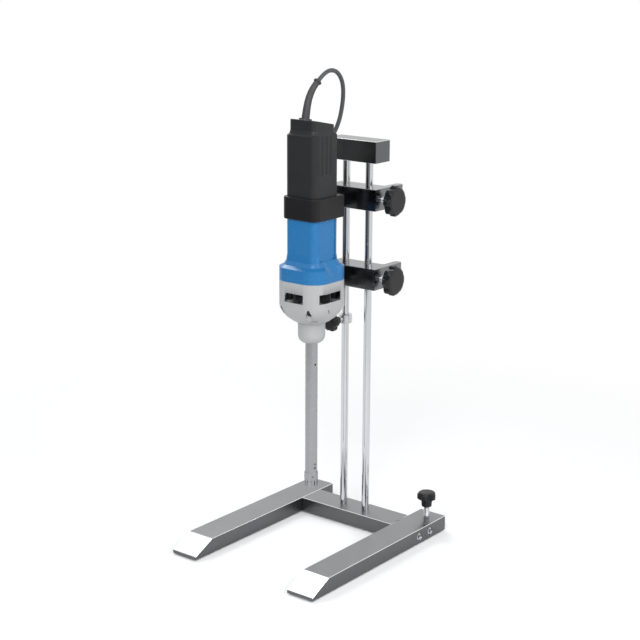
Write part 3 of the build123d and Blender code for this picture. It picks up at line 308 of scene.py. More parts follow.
def piece(name, meshes, body, material, smooth=True):
    """One finished object from plain meshes, riding on a body."""
    bm = bmesh.new()
    for me in meshes:
        bm.from_mesh(me)
    bmesh.ops.remove_doubles(bm, verts=bm.verts, dist=1e-6)
    bmesh.ops.dissolve_degenerate(bm, dist=1e-7, edges=bm.edges)
    bmesh.ops.recalc_face_normals(bm, faces=bm.faces)
    me = bpy.data.meshes.new(name)
    bm.to_mesh(me)
    bm.free()
    for src in meshes:
        bpy.data.meshes.remove(src)
    if smooth:
        me.shade_smooth()
    me.materials.clear()
    me.materials.append(material)
    ob = placed(name, me)
    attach(ob, body)
    return ob


def thread_tree():
    """Threaded rod along +Z from its end, placed by Turn and Place."""
    t, i, o = group("ThreadedRod", "GeometryNodeTree",
                    [("Length", F, 0.03), ("Diameter", F, 0.008), ("Pitch", F, 0.00125), ("Depth", F, 0.0006),
                     ("Sides", "NodeSocketInt", 28), ("Rings", "NodeSocketInt", 120), ("Turn", V, (0, 0, 0)),
                     ("Place", V, (0, 0, 0)), ("Material", "NodeSocketMaterial", None)],
                    [("Geometry", "NodeSocketGeometry")])
    g = i.outputs
    sides = math_node(t, "ADD", g["Sides"], 1.0)
    rings = math_node(t, "ADD", g["Rings"], 3.0)
    step = math_node(t, "DIVIDE", g["Length"], g["Rings"])
    span = math_node(t, "MULTIPLY_ADD", step, 2.0, g["Length"])
    grid = add(t, "GeometryNodeMeshGrid", {"Size X": 1.0, "Size Y": span, "Vertices X": sides,
                                           "Vertices Y": rings})
    pos = add(t, "GeometryNodeInputPosition")
    xyz = add(t, "ShaderNodeSeparateXYZ", {0: pos.outputs[0]})
    half = math_node(t, "MULTIPLY", g["Length"], 0.5)
    raw = math_node(t, "ADD", xyz.outputs["Y"], half)
    low = math_node(t, "MAXIMUM", raw, 0.0)
    z = math_node(t, "MINIMUM", low, g["Length"])
    out_low = math_node(t, "LESS_THAN", raw, math_node(t, "MULTIPLY", step, -0.5))
    over = math_node(t, "ADD", g["Length"], math_node(t, "MULTIPLY", step, 0.5))
    out_high = math_node(t, "GREATER_THAN", raw, over)
    outside = math_node(t, "ADD", out_low, out_high)
    turns = math_node(t, "DIVIDE", z, g["Pitch"])
    saw = math_node(t, "FRACT", math_node(t, "SUBTRACT", turns, xyz.outputs["X"]))
    vee = math_node(t, "ABSOLUTE", math_node(t, "MULTIPLY_ADD", saw, 2.0, -1.0))
    flat = math_node(t, "MINIMUM", math_node(t, "MULTIPLY", vee, 1.25), 1.0)
    end = math_node(t, "MINIMUM", z, math_node(t, "SUBTRACT", g["Length"], z))      # lead-in chamfer
    lead = math_node(t, "MAXIMUM", math_node(t, "SUBTRACT", g["Depth"], end), 0.0)
    cut = math_node(t, "MAXIMUM", math_node(t, "MULTIPLY", flat, g["Depth"]), lead)
    rad = math_node(t, "SUBTRACT", math_node(t, "MULTIPLY", g["Diameter"], 0.5), cut)
    rad = math_node(t, "MULTIPLY", rad, math_node(t, "SUBTRACT", 1.0, outside))
    ang = math_node(t, "MULTIPLY", xyz.outputs["X"], math.tau)
    put = add(t, "ShaderNodeCombineXYZ", {
        "X": math_node(t, "MULTIPLY", rad, math_node(t, "COSINE", ang)),
        "Y": math_node(t, "MULTIPLY", rad, math_node(t, "SINE", ang)), "Z": z})
    sp = add(t, "GeometryNodeSetPosition", {"Geometry": grid.outputs["Mesh"], "Position": put.outputs[0]})
    mg = add(t, "GeometryNodeMergeByDistance", {"Geometry": sp.outputs[0], "Distance": 1e-6})
    tr = add(t, "GeometryNodeTransform", {"Geometry": mg.outputs[0], "Translation": g["Place"],
                                          "Rotation": g["Turn"]})
    re = add(t, "GeometryNodeRealizeInstances", {"Geometry": tr.outputs[0]})
    sm = add(t, "GeometryNodeSetMaterial", {"Geometry": re.outputs[0], "Material": g["Material"]})
    t.links.new(sm.outputs[0], o.inputs[0])
    return t


def rib_tree():
    """A ring of fine ribs round a screw head whose axis is +Z."""
    t, i, o = group("HeadKnurl", "GeometryNodeTree",
                    [("Radius", F, 0.0048), ("Height", F, 0.005), ("Rib", F, 0.00028),
                     ("Count", "NodeSocketInt", 36),
                     ("Turn", V, (0, 0, 0)), ("Place", V, (0, 0, 0)), ("Material", "NodeSocketMaterial", None)],
                    [("Geometry", "NodeSocketGeometry")])
    g = i.outputs
    ring = add(t, "GeometryNodeMeshCircle", {"Vertices": g["Count"], "Radius": g["Radius"]})
    rib = add(t, "GeometryNodeMeshCylinder", {"Vertices": 6, "Radius": g["Rib"], "Depth": g["Height"]})
    inst = add(t, "GeometryNodeInstanceOnPoints",
               {"Points": ring.outputs[0], "Instance": rib.outputs["Mesh"]})
    tr = add(t, "GeometryNodeTransform", {"Geometry": inst.outputs[0], "Translation": g["Place"],
                                          "Rotation": g["Turn"]})
    re = add(t, "GeometryNodeRealizeInstances", {"Geometry": tr.outputs[0]})
    sm = add(t, "GeometryNodeSetMaterial", {"Geometry": re.outputs[0], "Material": g["Material"]})
    t.links.new(sm.outputs[0], o.inputs[0])
    return t


UPRIGHT, TO_X, TO_MINUS_Y = (0, 0, 0), (0.0, math.pi / 2, 0.0), (math.pi / 2, 0.0, 0.0)


# ------------------------------------------------------------------ mains cord
FOLD_TOP, FOLD_LOW = 448.9, 346.7            # centres of the hank's two folds, mm
ARM_MID, TURN_PITCH = -25.75, 5.5            # middle of the arms in X, and from one turn to the next
LANES = (-44.15, -49.65, -55.15)             # where the turns lie beside each other
FOLD_EASE = 0.27                             # a straight side stops this share of its radius before the fold
PLUG_FACE, BLADE_BRASS = 0.3299, (0.72, 0.66, 0.50)        # height below which the plug is blades, m
STRAP_CORNER, STRAP_WALL, STRAP_INSET, STRAP_ROWS = 0.0048, 0.0012, 0.0004, 5
FREE_END = ((1, 0.35), (2, 0.75), (3, 1.0), (4, 1.0), (5, 1.05), (6, 1.05), (7, 1.1))  # loop point, walls out
FREE_REACH, FREE_LIFT = 0.12, 0.0006         # the free end's last step: share of the width, and outwards
RUN = [(0.4, -83.9, 605.5), (1.6, -76.0, 613.0), (2.6, -63.6, 617.6), (2.6, -50.0, 615.2), (1.6, -38.8, 605.8),
       (-1.2, -30.6, 592.0), (-5.2, -27.0, 571.0), (-9.6, -29.0, 547.0), (-20.0, -36.0, 522.0),
       (-34.5, -41.6, 501.0), (-42.25, -44.15, 481.0), (-42.25, -44.15, 463.0)]
TAIL = [(-54.15, -49.9, 438.9), (-56.55, -49.9, 420.9), (-60.55, -49.9, 404.9), (-62.0, -49.9, 390.9),
        (-62.0, -49.9, 379.0)]


def hank_turns(fold):
    """Control points of the five turns: down the left, round below, up the right and over the top."""
    inner, outer = fold, fold + TURN_PITCH
    y1, y2, y3 = LANES
    mix = lambda a, b, w: a + (b - a) * w
    left = [("L", 0), ("L", 1)] + [("B", a) for a in (195, 225, 255, 285, 315, 345)]
    right = [("R", s) for s in (0.0, 0.36, 0.68, 1.0)] + [("T", a) for a in (15, 45, 75, 105, 135, 165)]
    pts = []
    for n in range(5):
        for kind, s in left + right:
            y, r = ((y1, inner), (y2, inner), (y3, inner), (y3, outer), (y2, outer))[n]
            if n < 2 and kind == "T":
                y = mix(y, y - TURN_PITCH, {15: 0.1, 45: 0.5, 75: 0.9}.get(s, 1.0))
            if n == 2 and (kind == "T" or (kind == "R" and s > 0.5)):
                r = mix(inner, outer, 0.12 if s == 0.68 else (0.85 if s == 1.0 else 1.0))
            if n == 3 and kind in "RT":
                y = mix(y3, y2, 0.0 if s == 0.0 else (0.3 if s == 0.36 else (0.92 if s == 0.68 else 1.0)))
            if n == 4:
                if kind == "B":
                    y = mix(y2, y1, {315: 0.12, 345: 0.45}.get(s, 0.0))
                elif kind == "R":
                    y = mix(y2, y1, 0.8 if s == 0.0 else 1.0)
                    r = outer + (0.8 if s == 1.0 else 0.0)
                elif kind == "T":
                    y = mix(y1, y2 - 0.25, {15: 0.0, 45: 0.12, 75: 0.5, 105: 0.92}.get(s, 1.0))
                    r = {15: outer + 2.8, 45: outer + 5.2}.get(s, outer + 5.7)
            if kind in "LR":
                top, low = FOLD_TOP - FOLD_EASE * r, FOLD_LOW + FOLD_EASE * r
                x = -r if kind == "L" else r
                z = mix(top, low, s) if kind == "L" else mix(low, top, s)
            else:
                a, rr = math.radians(s), r / math.cos(math.radians(15))
                x, z = rr * math.cos(a), rr * math.sin(a) + (FOLD_TOP if kind == "T" else FOLD_LOW)
            pts.append((ARM_MID + x, y, z))
    return pts


class HOMOG_OT_mains_cord(bpy.types.Operator):
    """Lay the mains cord from its boot over the top and into the tied hank behind the motor"""
    bl_idname = "homog.mains_cord"
    bl_label = "Mains cord"

    def execute(self, context):
        props = context.scene.homog_cord
        route = RUN + hank_turns(props.fold_radius * 1000.0) + TAIL
        cu = bpy.data.curves.new("mains_cord", "CURVE")
        cu.dimensions = "3D"
        sp = cu.splines.new("NURBS")
        sp.points.add(len(route) - 1)
        for p, q in zip(sp.points, route):
            p.co = (*mm(*q), 1.0)
        sp.order_u = 3
        sp.use_endpoint_u = True
        sp.resolution_u = 7
        cu.bevel_depth = props.diameter / 2
        cu.bevel_resolution = 4
        cu.use_fill_caps = True
        mat = finish("cord_jacket", props.jacket, rough=(0.36, 0.48), relief=(1400.0, 0.06),
                     drift=(40.0, 0.2))
        cu.materials.append(mat)
        ob = placed("mains_cord", cu)
        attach(ob, "carriage")
        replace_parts(ob, "cord_run", "cord_hank", "cord_tail")
        plug = finish("plug_moulding", props.jacket, rough=(0.38, 0.5), relief=(1200.0, 0.08))
        t = plug.node_tree
        co = add(t, "ShaderNodeTexCoord").outputs["Object"]
        z = add(t, "ShaderNodeSeparateXYZ", {0: co}).outputs["Z"]
        blade = math_node(t, "LESS_THAN", z, PLUG_FACE)
        paint_where(plug, blade, BLADE_BRASS)
        t.links.new(blade, t.nodes["Principled BSDF"].inputs["Metallic"])
        dress(plug, "power_plug")
        return {"FINISHED"}


class HOMOG_OT_cord_strap(bpy.types.Operator):
    """Wrap the hook and loop strap round the hank and the plug"""
    bl_idname = "homog.cord_strap"
    bl_label = "Cord strap"

    def execute(self, context):
        props = context.scene.homog_cord
        low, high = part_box("cord_tie")
        r, wall = STRAP_CORNER, STRAP_WALL
        x0, x1, y0, y1 = low.x + wall / 2, high.x - wall / 2, low.y + wall / 2, high.y - wall / 2
        loop = []
        for cx, cy, a0 in ((x1 - r, y1 - r, 0), (x0 + r, y1 - r, 90), (x0 + r, y0 + r, 180),
                           (x1 - r, y0 + r, 270)):
            for k in range(7):
                a = math.radians(a0 + 15 * k)
                loop.append((cx + r * math.cos(a), cy + r * math.sin(a)))
        loop.append(loop[0])
        # the free end lies on the first part of the loop, one thickness outside it
        for k, lift in FREE_END:
            q = loop[k]
            c = Vector((x1 - r, y1 - r)) if k < 7 else Vector((x0 + r, y1 - r))
            n = (Vector(q) - c).normalized() if k < 7 else Vector((0, 1))
            loop.append(tuple(Vector(q) + n * wall * lift))
        loop.append((loop[-1][0] + (x0 - x1) * FREE_REACH, loop[-1][1] + FREE_LIFT))
        verts, faces = [], []
        for j in range(STRAP_ROWS + 1):
            z = low.z + STRAP_INSET + (high.z - low.z - 2 * STRAP_INSET) * j / STRAP_ROWS
            verts += [(x, y, z) for x, y in loop]
        n = len(loop)
        for j in range(STRAP_ROWS):
            for k in range(n - 1):
                faces.append((j * n + k, j * n + k + 1, (j + 1) * n + k + 1, (j + 1) * n + k))
        me = bpy.data.meshes.new("cord_strap")
        me.from_pydata(verts, [], faces)
        mat = finish("woven_strap", props.strap, rough=(0.75, 0.9), relief=(2600.0, 0.5), drift=(60.0, 0.3),
                     Sheen_Weight=0.35)
        t = mat.node_tree
        p = t.nodes["Principled BSDF"]
        co = add(t, "ShaderNodeTexCoord").outputs["Object"]
        w1 = add(t, "ShaderNodeTexWave", {"Vector": co, "Scale": 420.0, "Distortion": 1.2},
                 bands_direction="Z")
        w2 = add(t, "ShaderNodeTexWave", {"Vector": co, "Scale": 300.0, "Distortion": 1.2},
                 bands_direction="DIAGONAL")
        weave = math_node(t, "MULTIPLY", w1.outputs[1], w2.outputs[1])
        b = add(t, "ShaderNodeBump", {"Strength": 0.6, "Distance": 0.0003, "Height": weave})
        t.links.new(p.inputs["Normal"].links[0].from_socket, b.inputs["Normal"])
        t.links.new(b.outputs[0], p.inputs["Normal"])
        me.materials.append(mat)
        ob = placed("cord_strap", me)
        so = ob.modifiers.new("wall", "SOLIDIFY")
        so.thickness, so.offset = wall * 0.9, 0.0
        bv = ob.modifiers.new("edge", "BEVEL")
        bv.width, bv.segments, bv.limit_method = 0.00025, 2, "ANGLE"
        me.shade_smooth()
        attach(ob, "carriage")
        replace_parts(ob, "cord_tie")
        return {"FINISHED"}


# ------------------------------------------------------------------ stand
def bar_faces(mat, side, cut):
    """Painted light on bar stock, chosen by which way a face looks: painted shade on the upright sides and a
    painted highlight on the chamfers and toe bevels; the flat faces keep the bar's own colour.
    """
    t = mat.node_tree
    p = t.nodes["Principled BSDF"]
    face = p.inputs["Base Color"].links[0].from_socket
    normal = add(t, "ShaderNodeNewGeometry").outputs["Normal"]
    z = math_node(t, "ABSOLUTE", add(t, "ShaderNodeSeparateXYZ", {0: normal}).outputs["Z"])
    # upright faces get the painted shade, tilted faces the painted highlight, flat faces the bar's own colour
    tilted = math_node(t, "GREATER_THAN", z, 0.2)
    flat = math_node(t, "GREATER_THAN", z, 0.97)
    edge = add(t, "ShaderNodeMix", {"Factor": tilted}, data_type="RGBA")
    edge.inputs[6].default_value, edge.inputs[7].default_value = (*side, 1.0), (*cut, 1.0)
    top = add(t, "ShaderNodeMix", {"Factor": flat}, data_type="RGBA")
    t.links.new(edge.outputs[2], top.inputs[6])
    t.links.new(face, top.inputs[7])
    t.links.new(top.outputs[2], p.inputs["Base Color"])


class HOMOG_OT_stand(bpy.types.Operator):
    """Finish the legs, crossbar, columns, top block and feet"""
    bl_idname = "homog.stand"
    bl_label = "Stand"

    def execute(self, context):
        s = context.scene.homog_stand
        g = s.grain_scale
        metal = dict(metallic=1.0, rough=(0.26, 0.36), wear_scale=22.0, drift=(9.0, 0.10))
        along_y = finish("leg_satin", s.bar, grain=((1.0, 0.04, 1.0), g, 0.10), **metal)
        along_x = finish("crossbar_satin", s.bar, grain=((0.04, 1.0, 1.0), g, 0.10), **metal)
        for mat in (along_y, along_x):
            # painted shade on the bars' sides and a painted highlight on their bevels
            bar_faces(mat, s.bar_side_shade, s.bar_bevel_highlight)
        dress(along_y, "leg_left", "leg_right")
        dress(along_x, "cross_bar", "top_block")
        dress(finish("column_chrome", s.plating, metallic=1.0, rough=(0.05, 0.09), wear_scale=60.0,
                     relief=(300.0, 0.01), drift=(12.0, 0.04)), "column_left", "column_right")
        dress(finish("zinc_screws", (0.52, 0.53, 0.55), metallic=1.0, rough=(0.22, 0.36),
                     relief=(1500.0, 0.05)),
              "frame_screws", "column_screws", "top_set_screws")
        dress(finish("foot_rubber", (0.022, 0.022, 0.022), rough=(0.7, 0.85), relief=(1800.0, 0.25)),
              "rubber_feet")
        return {"FINISHED"}


KNOB_X = ((47.0, 47.0), (63.0, 51.5), (76.0, 64.5))        # a clamp knob's hub foot, head back and face, mm


def close_knob(side, material):
    """A clamp knob with its hub drawn in, so that the star sits close to the clamp's lug."""
    src = NODES[side + "_clamp_knob"]
    me = src.data.copy()
    me.transform(src.matrix_world)
    for v in me.vertices:
        x = v.co.x * 1000.0
        (a0, b0), (a1, b1) = KNOB_X[:2] if x < KNOB_X[1][0] else KNOB_X[1:]
        v.co.x = (b0 + (x - a0) * (b1 - b0) / (a1 - a0)) / 1000.0
    me.materials.clear()
    me.materials.append(material)
    ob = placed(side + "_star_knob", me)
    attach(ob, side + "_screw")
    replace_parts(ob, side + "_clamp_knob")


class HOMOG_OT_clamps(bpy.types.Operator):
    """Finish the clamp bars, pads, knobs and the stop collar"""
    bl_idname = "homog.clamps"
    bl_label = "Clamps and stop"

    def execute(self, context):
        s = context.scene.homog_stand
        dress(finish("clamp_polish", s.clamp, metallic=1.0, rough=(0.14, 0.22), wear_scale=26.0,
                     relief=(160.0, 0.012), drift=(10.0, 0.08)), "upper_clamp", "lower_clamp")
        plastic = finish("knob_plastic", s.knob, rough=(0.28, 0.42), relief=(1500.0, 0.07), drift=(30.0, 0.2),
                         Specular_IOR_Level=0.28)
        dress(plastic, "stop_knob", "levelling_knob", "levelling_foot")
        for side in ("upper", "lower"):
            close_knob(side, plastic)
        dress(finish("collar_turned", (0.60, 0.61, 0.62), metallic=1.0, rough=(0.25, 0.35),
                     grain=((0.05, 0.05, 1.0), 3000.0, 0.10)), "stop_collar")
        dress(finish("pad_brass", (0.62, 0.46, 0.20), metallic=1.0, rough=(0.3, 0.4), relief=(800.0, 0.04)),
              "upper_clamp_pad", "lower_clamp_pad", "stop_pad")
        return {"FINISHED"}


CLAMP_Z = (("upper", 451.2), ("lower", 347.3))             # heights of the two clamp bars' screws, mm
STUD_FROM, STUD_TIP_D = 27.42, 0.003         # a clamp stud's thread starts here (mm), behind a plain tip (m)
LEVEL_AT, LEVEL_FROM = (96, 34), 5.2         # levelling screw: its axis and where its thread starts, mm
LEVEL_TIP, LEVEL_TIP_D, LEVEL_TIP_LONG = 1.42, 0.00594, 0.0038
STOP_X, STOP_Z, STOP_SHALLOW = -18.4, 0.285, 0.7           # a fine screw, so its thread is shallower
M8, M5 = (0.00794, 0.00125), (0.00496, 0.0008)             # outer diameter and pitch, m
PLAIN_PITCH = 0.001                          # any pitch does where a rod has no thread
RINGS_PER_TURN = 7
FRAME_HEAD_X, FRAME_HEAD_Y, FRAME_HEAD_Z = 111.9, (-11.0, 14.0), 11.1
ARM_HEAD_X, ARM_HEAD_Y, ARM_HEAD_DROP = -31.2, 16.4, 1.5


class HOMOG_OT_threads(bpy.types.Operator):
    """Cut the threads of the clamp studs, levelling screw and stop screw"""
    bl_idname = "homog.threads"
    bl_label = "Screw threads"

    def execute(self, context):
        s = context.scene.homog_stand
        mat = finish("thread_zinc", (0.56, 0.57, 0.59), metallic=1.0, rough=(0.2, 0.32), relief=(900.0, 0.03))
        tree = thread_tree()
        d = s.thread_depth

        def rod(name, start, turn, size, pitch, long, depth):
            rings = int(long / pitch * RINGS_PER_TURN) if depth else 4
            return grown(name, tree, {"Length": long, "Diameter": size, "Pitch": pitch, "Depth": depth,
                                      "Rings": rings, "Turn": turn, "Place": start, "Material": mat})

        for side, z in CLAMP_Z:
            low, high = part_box(side + "_clamp_stud")
            start = STUD_FROM / 1000.0
            a = rod(side, mm(STUD_FROM, 0, z), TO_X, *M8, high.x - start, d)
            b = rod(side + "_tip", (low.x, mm(0, 0, 0).y, z / 1000), TO_X, STUD_TIP_D, PLAIN_PITCH,
                    start - low.x, 0.0)
            ob = piece(side + "_clamp_thread", [a, b], side + "_screw", mat)
            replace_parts(ob, side + "_clamp_stud")
        low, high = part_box("levelling_screw")
        a = rod("level", mm(*LEVEL_AT, LEVEL_FROM), UPRIGHT, *M8, high.z - LEVEL_FROM / 1000.0, d)
        b = rod("level_tip", mm(*LEVEL_AT, LEVEL_TIP), UPRIGHT, LEVEL_TIP_D, PLAIN_PITCH, LEVEL_TIP_LONG, 0.0)
        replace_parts(piece("levelling_thread", [a, b], "level_screw", mat), "levelling_screw")
        low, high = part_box("stop_screw")
        a = rod("stop", (mm(STOP_X, 0, 0).x, high.y, STOP_Z), TO_MINUS_Y, *M5, high.y - low.y,
                d * STOP_SHALLOW)
        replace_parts(piece("stop_thread", [a], "stop_turn", mat), "stop_screw")
        return {"FINISHED"}


class HOMOG_OT_knurls(bpy.types.Operator):
    """Add the knurled rims of the socket head screws"""
    bl_idname = "homog.knurls"
    bl_label = "Screw head knurls"

    def execute(self, context):
        mat = finish("knurl_zinc", (0.50, 0.51, 0.53), metallic=1.0, rough=(0.25, 0.4), relief=(1500.0, 0.05))
        tree = rib_tree()
        heads = [mm(sx * FRAME_HEAD_X, y, FRAME_HEAD_Z) for sx in (-1, 1) for y in FRAME_HEAD_Y]
        rims = [grown("rim%d" % k, tree, {"Turn": TO_X, "Place": h, "Material": mat}) for k,
                h in enumerate(heads)]
        piece("frame_screw_knurls", rims, "stand", mat, smooth=False)
        heads = [mm(ARM_HEAD_X, ARM_HEAD_Y, z - ARM_HEAD_DROP) for _, z in CLAMP_Z]
        rims = [grown("arm%d" % k, tree, {"Turn": TO_MINUS_Y, "Place": h, "Material": mat})
                for k, h in enumerate(heads)]
        piece("arm_screw_knurls", rims, "carriage", mat, smooth=False)
        return {"FINISHED"}


# ------------------------------------------------------------------ motor unit
AXIS_Y = -95.0                               # motor axis, mm
NOSE_HALF, NOSE_ROUND, VENT_LOW, VENT_HIGH = 36.0, 23.7, 333.2, 345.2
VENT_SET = 1.5                               # the vent dividers stand back by this
CUT_OUT = 1.0                                # how far a cutter stands outside the wall
FRONT_VENT = (-0.4, 30.0)                    # middle and width of the vents on the front and back
SIDE_VENT, SIDE_VENT_UP = (-5.5, 39.0), 1.0  # the same for the side vents, which sit a little higher
SEAT_X, SEAT_Y, SEAT_R = 20.0, 30.1, 4.2     # pockets of the housing screws on the dome
SEAT_TOP, SEAT_LONG = 333.0, 44.5
SKIN, SHADE_PAINT_BELOW, SHADE_PAINT_ABOVE = 1.2, 0.4, 8.0  # wall left its own grey, and how far the painted shade goes past the vents


def nose_cutter():
    """Solids cut from the nose: recesses over the vent dividers, and the screw pockets on the dome."""
    bm = bmesh.new()

    def box(centre, size):
        made = bmesh.ops.create_cube(bm, size=1.0)["verts"]
        place = Matrix.Translation(mm(*centre)) @ Matrix.Diagonal((*(Vector(size) / 1000.0), 1.0))
        bmesh.ops.transform(bm, matrix=place, verts=made)

    mid, tall = (VENT_LOW + VENT_HIGH) / 2, VENT_HIGH - VENT_LOW
    for side in (-1, 1):
        out, thick = side * (NOSE_HALF + CUT_OUT), 2 * (CUT_OUT + VENT_SET)
        box((FRONT_VENT[0], AXIS_Y + out, mid), (FRONT_VENT[1], thick, tall))
        box((out, AXIS_Y + SIDE_VENT[0], mid + SIDE_VENT_UP), (thick, SIDE_VENT[1], tall))
        for back in (-1, 1):
            pin = bmesh.ops.create_cone(bm, cap_ends=True, segments=32, radius1=SEAT_R / 1000.0,
                                        radius2=SEAT_R / 1000.0, depth=SEAT_LONG / 1000.0)["verts"]
            at = mm(side * SEAT_X, AXIS_Y + back * SEAT_Y, SEAT_TOP - SEAT_LONG / 2)
            bmesh.ops.translate(bm, verts=pin, vec=at)
    me = bpy.data.meshes.new("nose_cutter")
    bm.to_mesh(me)
    bm.free()
    return placed("nose_cutter", me)


def paint_nose_inside_shade(mat, tone=0.012):
    """Painted shade on the unlit inside of the nose and on the recessed vent dividers: what lies more than a
    skin's depth behind its rounded square wall.
    """
    t = mat.node_tree
    co = add(t, "ShaderNodeTexCoord").outputs["Object"]
    xyz = add(t, "ShaderNodeSeparateXYZ", {0: co}).outputs
    flat = (NOSE_HALF - NOSE_ROUND) / 1000.0
    q = []
    for axis, centre in (("X", 0.0), ("Y", mm(0, AXIS_Y, 0).y)):
        off = math_node(t, "ABSOLUTE", math_node(t, "SUBTRACT", xyz[axis], centre))
        q.append(math_node(t, "POWER", math_node(t, "MAXIMUM", math_node(t, "SUBTRACT", off, flat), 0.0),
                           2.0))
    deep = math_node(t, "LESS_THAN", math_node(t, "ADD", *q), ((NOSE_ROUND - SKIN) / 1000.0) ** 2)
    above = math_node(t, "GREATER_THAN", xyz["Z"], (VENT_LOW - SHADE_PAINT_BELOW) / 1000.0)
    below = math_node(t, "LESS_THAN", xyz["Z"], (VENT_HIGH + SHADE_PAINT_ABOVE) / 1000.0)
    mask = math_node(t, "MULTIPLY", deep, math_node(t, "MULTIPLY", above, below))
    # painted shade where the mask is 1
    paint_where(mat, mask, (tone, tone, tone))


def cut_nose(material):
    """The nose with its relief, as one finished piece in place of the plain node."""
    src = NODES["nose_housing"]
    me = src.data.copy()
    me.transform(src.matrix_world)
    bm = bmesh.new()
    bm.from_mesh(me)
    bmesh.ops.remove_doubles(bm, verts=bm.verts, dist=1e-6)
    bm.to_mesh(me)
    bm.free()
    nose = placed("nose_relief", me)
    cutter = nose_cutter()
    cut = nose.modifiers.new("relief", "BOOLEAN")
    cut.operation, cut.solver, cut.object = "DIFFERENCE", "EXACT", cutter
    dg = bpy.context.evaluated_depsgraph_get()
    done = bpy.data.meshes.new_from_object(nose.evaluated_get(dg), depsgraph=dg)
    nose.modifiers.clear()
    nose.data = done
    bpy.data.objects.remove(cutter)
    done.shade_smooth()
    done.set_sharp_from_angle(angle=math.radians(32))
    done.materials.clear()
    done.materials.append(material)
    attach(nose, "carriage")
    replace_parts(nose, "nose_housing")


class HOMOG_OT_motor_unit(bpy.types.Operator):
    """Finish the handle, motor housing, nose, neck, holder and boot"""
    bl_idname = "homog.motor_unit"
    bl_label = "Motor unit"

    def execute(self, context):
        m = context.scene.homog_motor
        dress(finish("housing_blue", m.housing, rough=(0.24, 0.34), relief=(700.0, 0.035), drift=(8.0, 0.10),
                     Specular_IOR_Level=0.32), "motor_housing")
        grey = finish("nose_grey", m.nose, rough=(0.38, 0.5), relief=(900.0, 0.06), drift=(10.0, 0.07))
        dress(grey, "nose_housing", "neck")
        vented = finish("nose_vented_painted_shade", m.nose, rough=(0.38, 0.5), relief=(900.0, 0.06), drift=(10.0, 0.07))
        # painted shade inside the nose and on the recessed vent dividers
        paint_nose_inside_shade(vented)
        cut_nose(vented)
        dress(finish("grip_black", m.grip, rough=(0.40, 0.52), relief=(1.0 / m.texture, 0.16),
                     drift=(16.0, 0.2),
                     Specular_IOR_Level=0.28), "handle_shell", "switch_body")
        dress(finish("switch_black", m.grip, rough=(0.25, 0.35), relief=(900.0, 0.03)), "switch_rocker",
              "speed_dial")
        dress(finish("holder_black", m.holder, rough=(0.32, 0.44), relief=(1300.0, 0.10), drift=(20.0, 0.2),
                     Specular_IOR_Level=0.2), "holder_ring", "lower_arm")
        dress(finish("boot_rubber", (0.030, 0.030, 0.033), rough=(0.5, 0.62), relief=(1500.0, 0.12)),
              "cord_boot")
        dress(finish("unit_screws", (0.40, 0.41, 0.43), metallic=1.0, rough=(0.25, 0.4),
                     relief=(1500.0, 0.05)),
              "arm_screws", "holder_set_screws", "housing_screws")
        return {"FINISHED"}


class HOMOG_OT_drive(bpy.types.Operator):
    """Finish the shaft tube, stator, rotor and the motor's inside"""
    bl_idname = "homog.drive"
    bl_label = "Drive"

    def execute(self, context):
        m = context.scene.homog_motor
        turned = ((0.06, 0.06, 1.0), 2600.0, 0.12)
        dress(finish("tube_ground", m.tube, metallic=1.0, rough=(0.24, 0.32), grain=turned), "shaft_tube",
              "stator_head")
        dress(finish("rotor_steel", (0.5, 0.51, 0.52), metallic=1.0, rough=(0.2, 0.3), grain=turned), "rotor",
              "drive_shaft")
        dress(finish("bush_ptfe", (0.82, 0.82, 0.79), rough=(0.4, 0.5), relief=(900.0, 0.05)), "shaft_bushes")
        dress(finish("bearing_ground", (0.52, 0.53, 0.55), metallic=1.0, rough=(0.18, 0.3), grain=turned),
              "shaft_bearings", "coupling", "motor_shaft")
        dress(finish("fan_nylon", (0.035, 0.035, 0.040), rough=(0.45, 0.6), relief=(900.0, 0.08)), "fan",
              "brush_plate")
        dress(finish("core_laminated", (0.17, 0.17, 0.18), metallic=0.8, rough=(0.4, 0.55),
                     grain=((0.03, 0.03, 1.0), 2200.0, 0.6)), "field_core", "armature")
        dress(finish("copper_wound", (0.50, 0.22, 0.10), metallic=0.9, rough=(0.3, 0.42),
                     grain=((0.1, 0.1, 1.0), 1600.0,
                            0.7)), "field_windings", "armature_windings", "commutator")
        dress(finish("brush_carbon", (0.045, 0.045, 0.05), rough=(0.5, 0.7), relief=(2500.0, 0.2)), "brushes")
        board = finish("board_green", (0.02, 0.16, 0.07), rough=(0.3, 0.45), relief=(1200.0, 0.05))
        dress(board, "speed_board")
        return {"FINISHED"}


# ------------------------------------------------------------------ stage
YAW, PITCH, ROLL, FOCAL_PX = 38.3, 14.7, 0.25, 1468.4
CAMERA_AT = (1.1286, -1.4133, 0.7787)


FLAG_FROM, FLAG_TO, FLAG_R, FLAG_STEPS = -168.0, -34.0, 1.3, 24     # bent card: degrees, metres
FLAG_Z, FLAG_TONES = (-0.35, 0.85), (0.17, 0.34)
PHOTO_PX, SENSOR, FLOOR_HALF = 640.0, 36.0, 14.0
LAMPS = (                                    # place, aim and size in metres, the power and a share of it
    ("key", (0.85, -1.35, 1.45), (0, 0, 0.28), (0.9, 0.9), "key_power", 1.0),
    ("corner", (0.95, -1.20, 0.18), (0, -0.09, 0.44), (0.22, 0.7), "corner_power", 1.0),
    ("rim", (1.5, 0.1, 1.1), (0, 0, 0.3), (0.6, 1.2), "rim_power", 1.0),
    ("back_top", (-0.75, 0.42, 1.15), (0.0, -0.1, 0.05), (0.5, 0.5), "rim_power", 0.6),
)


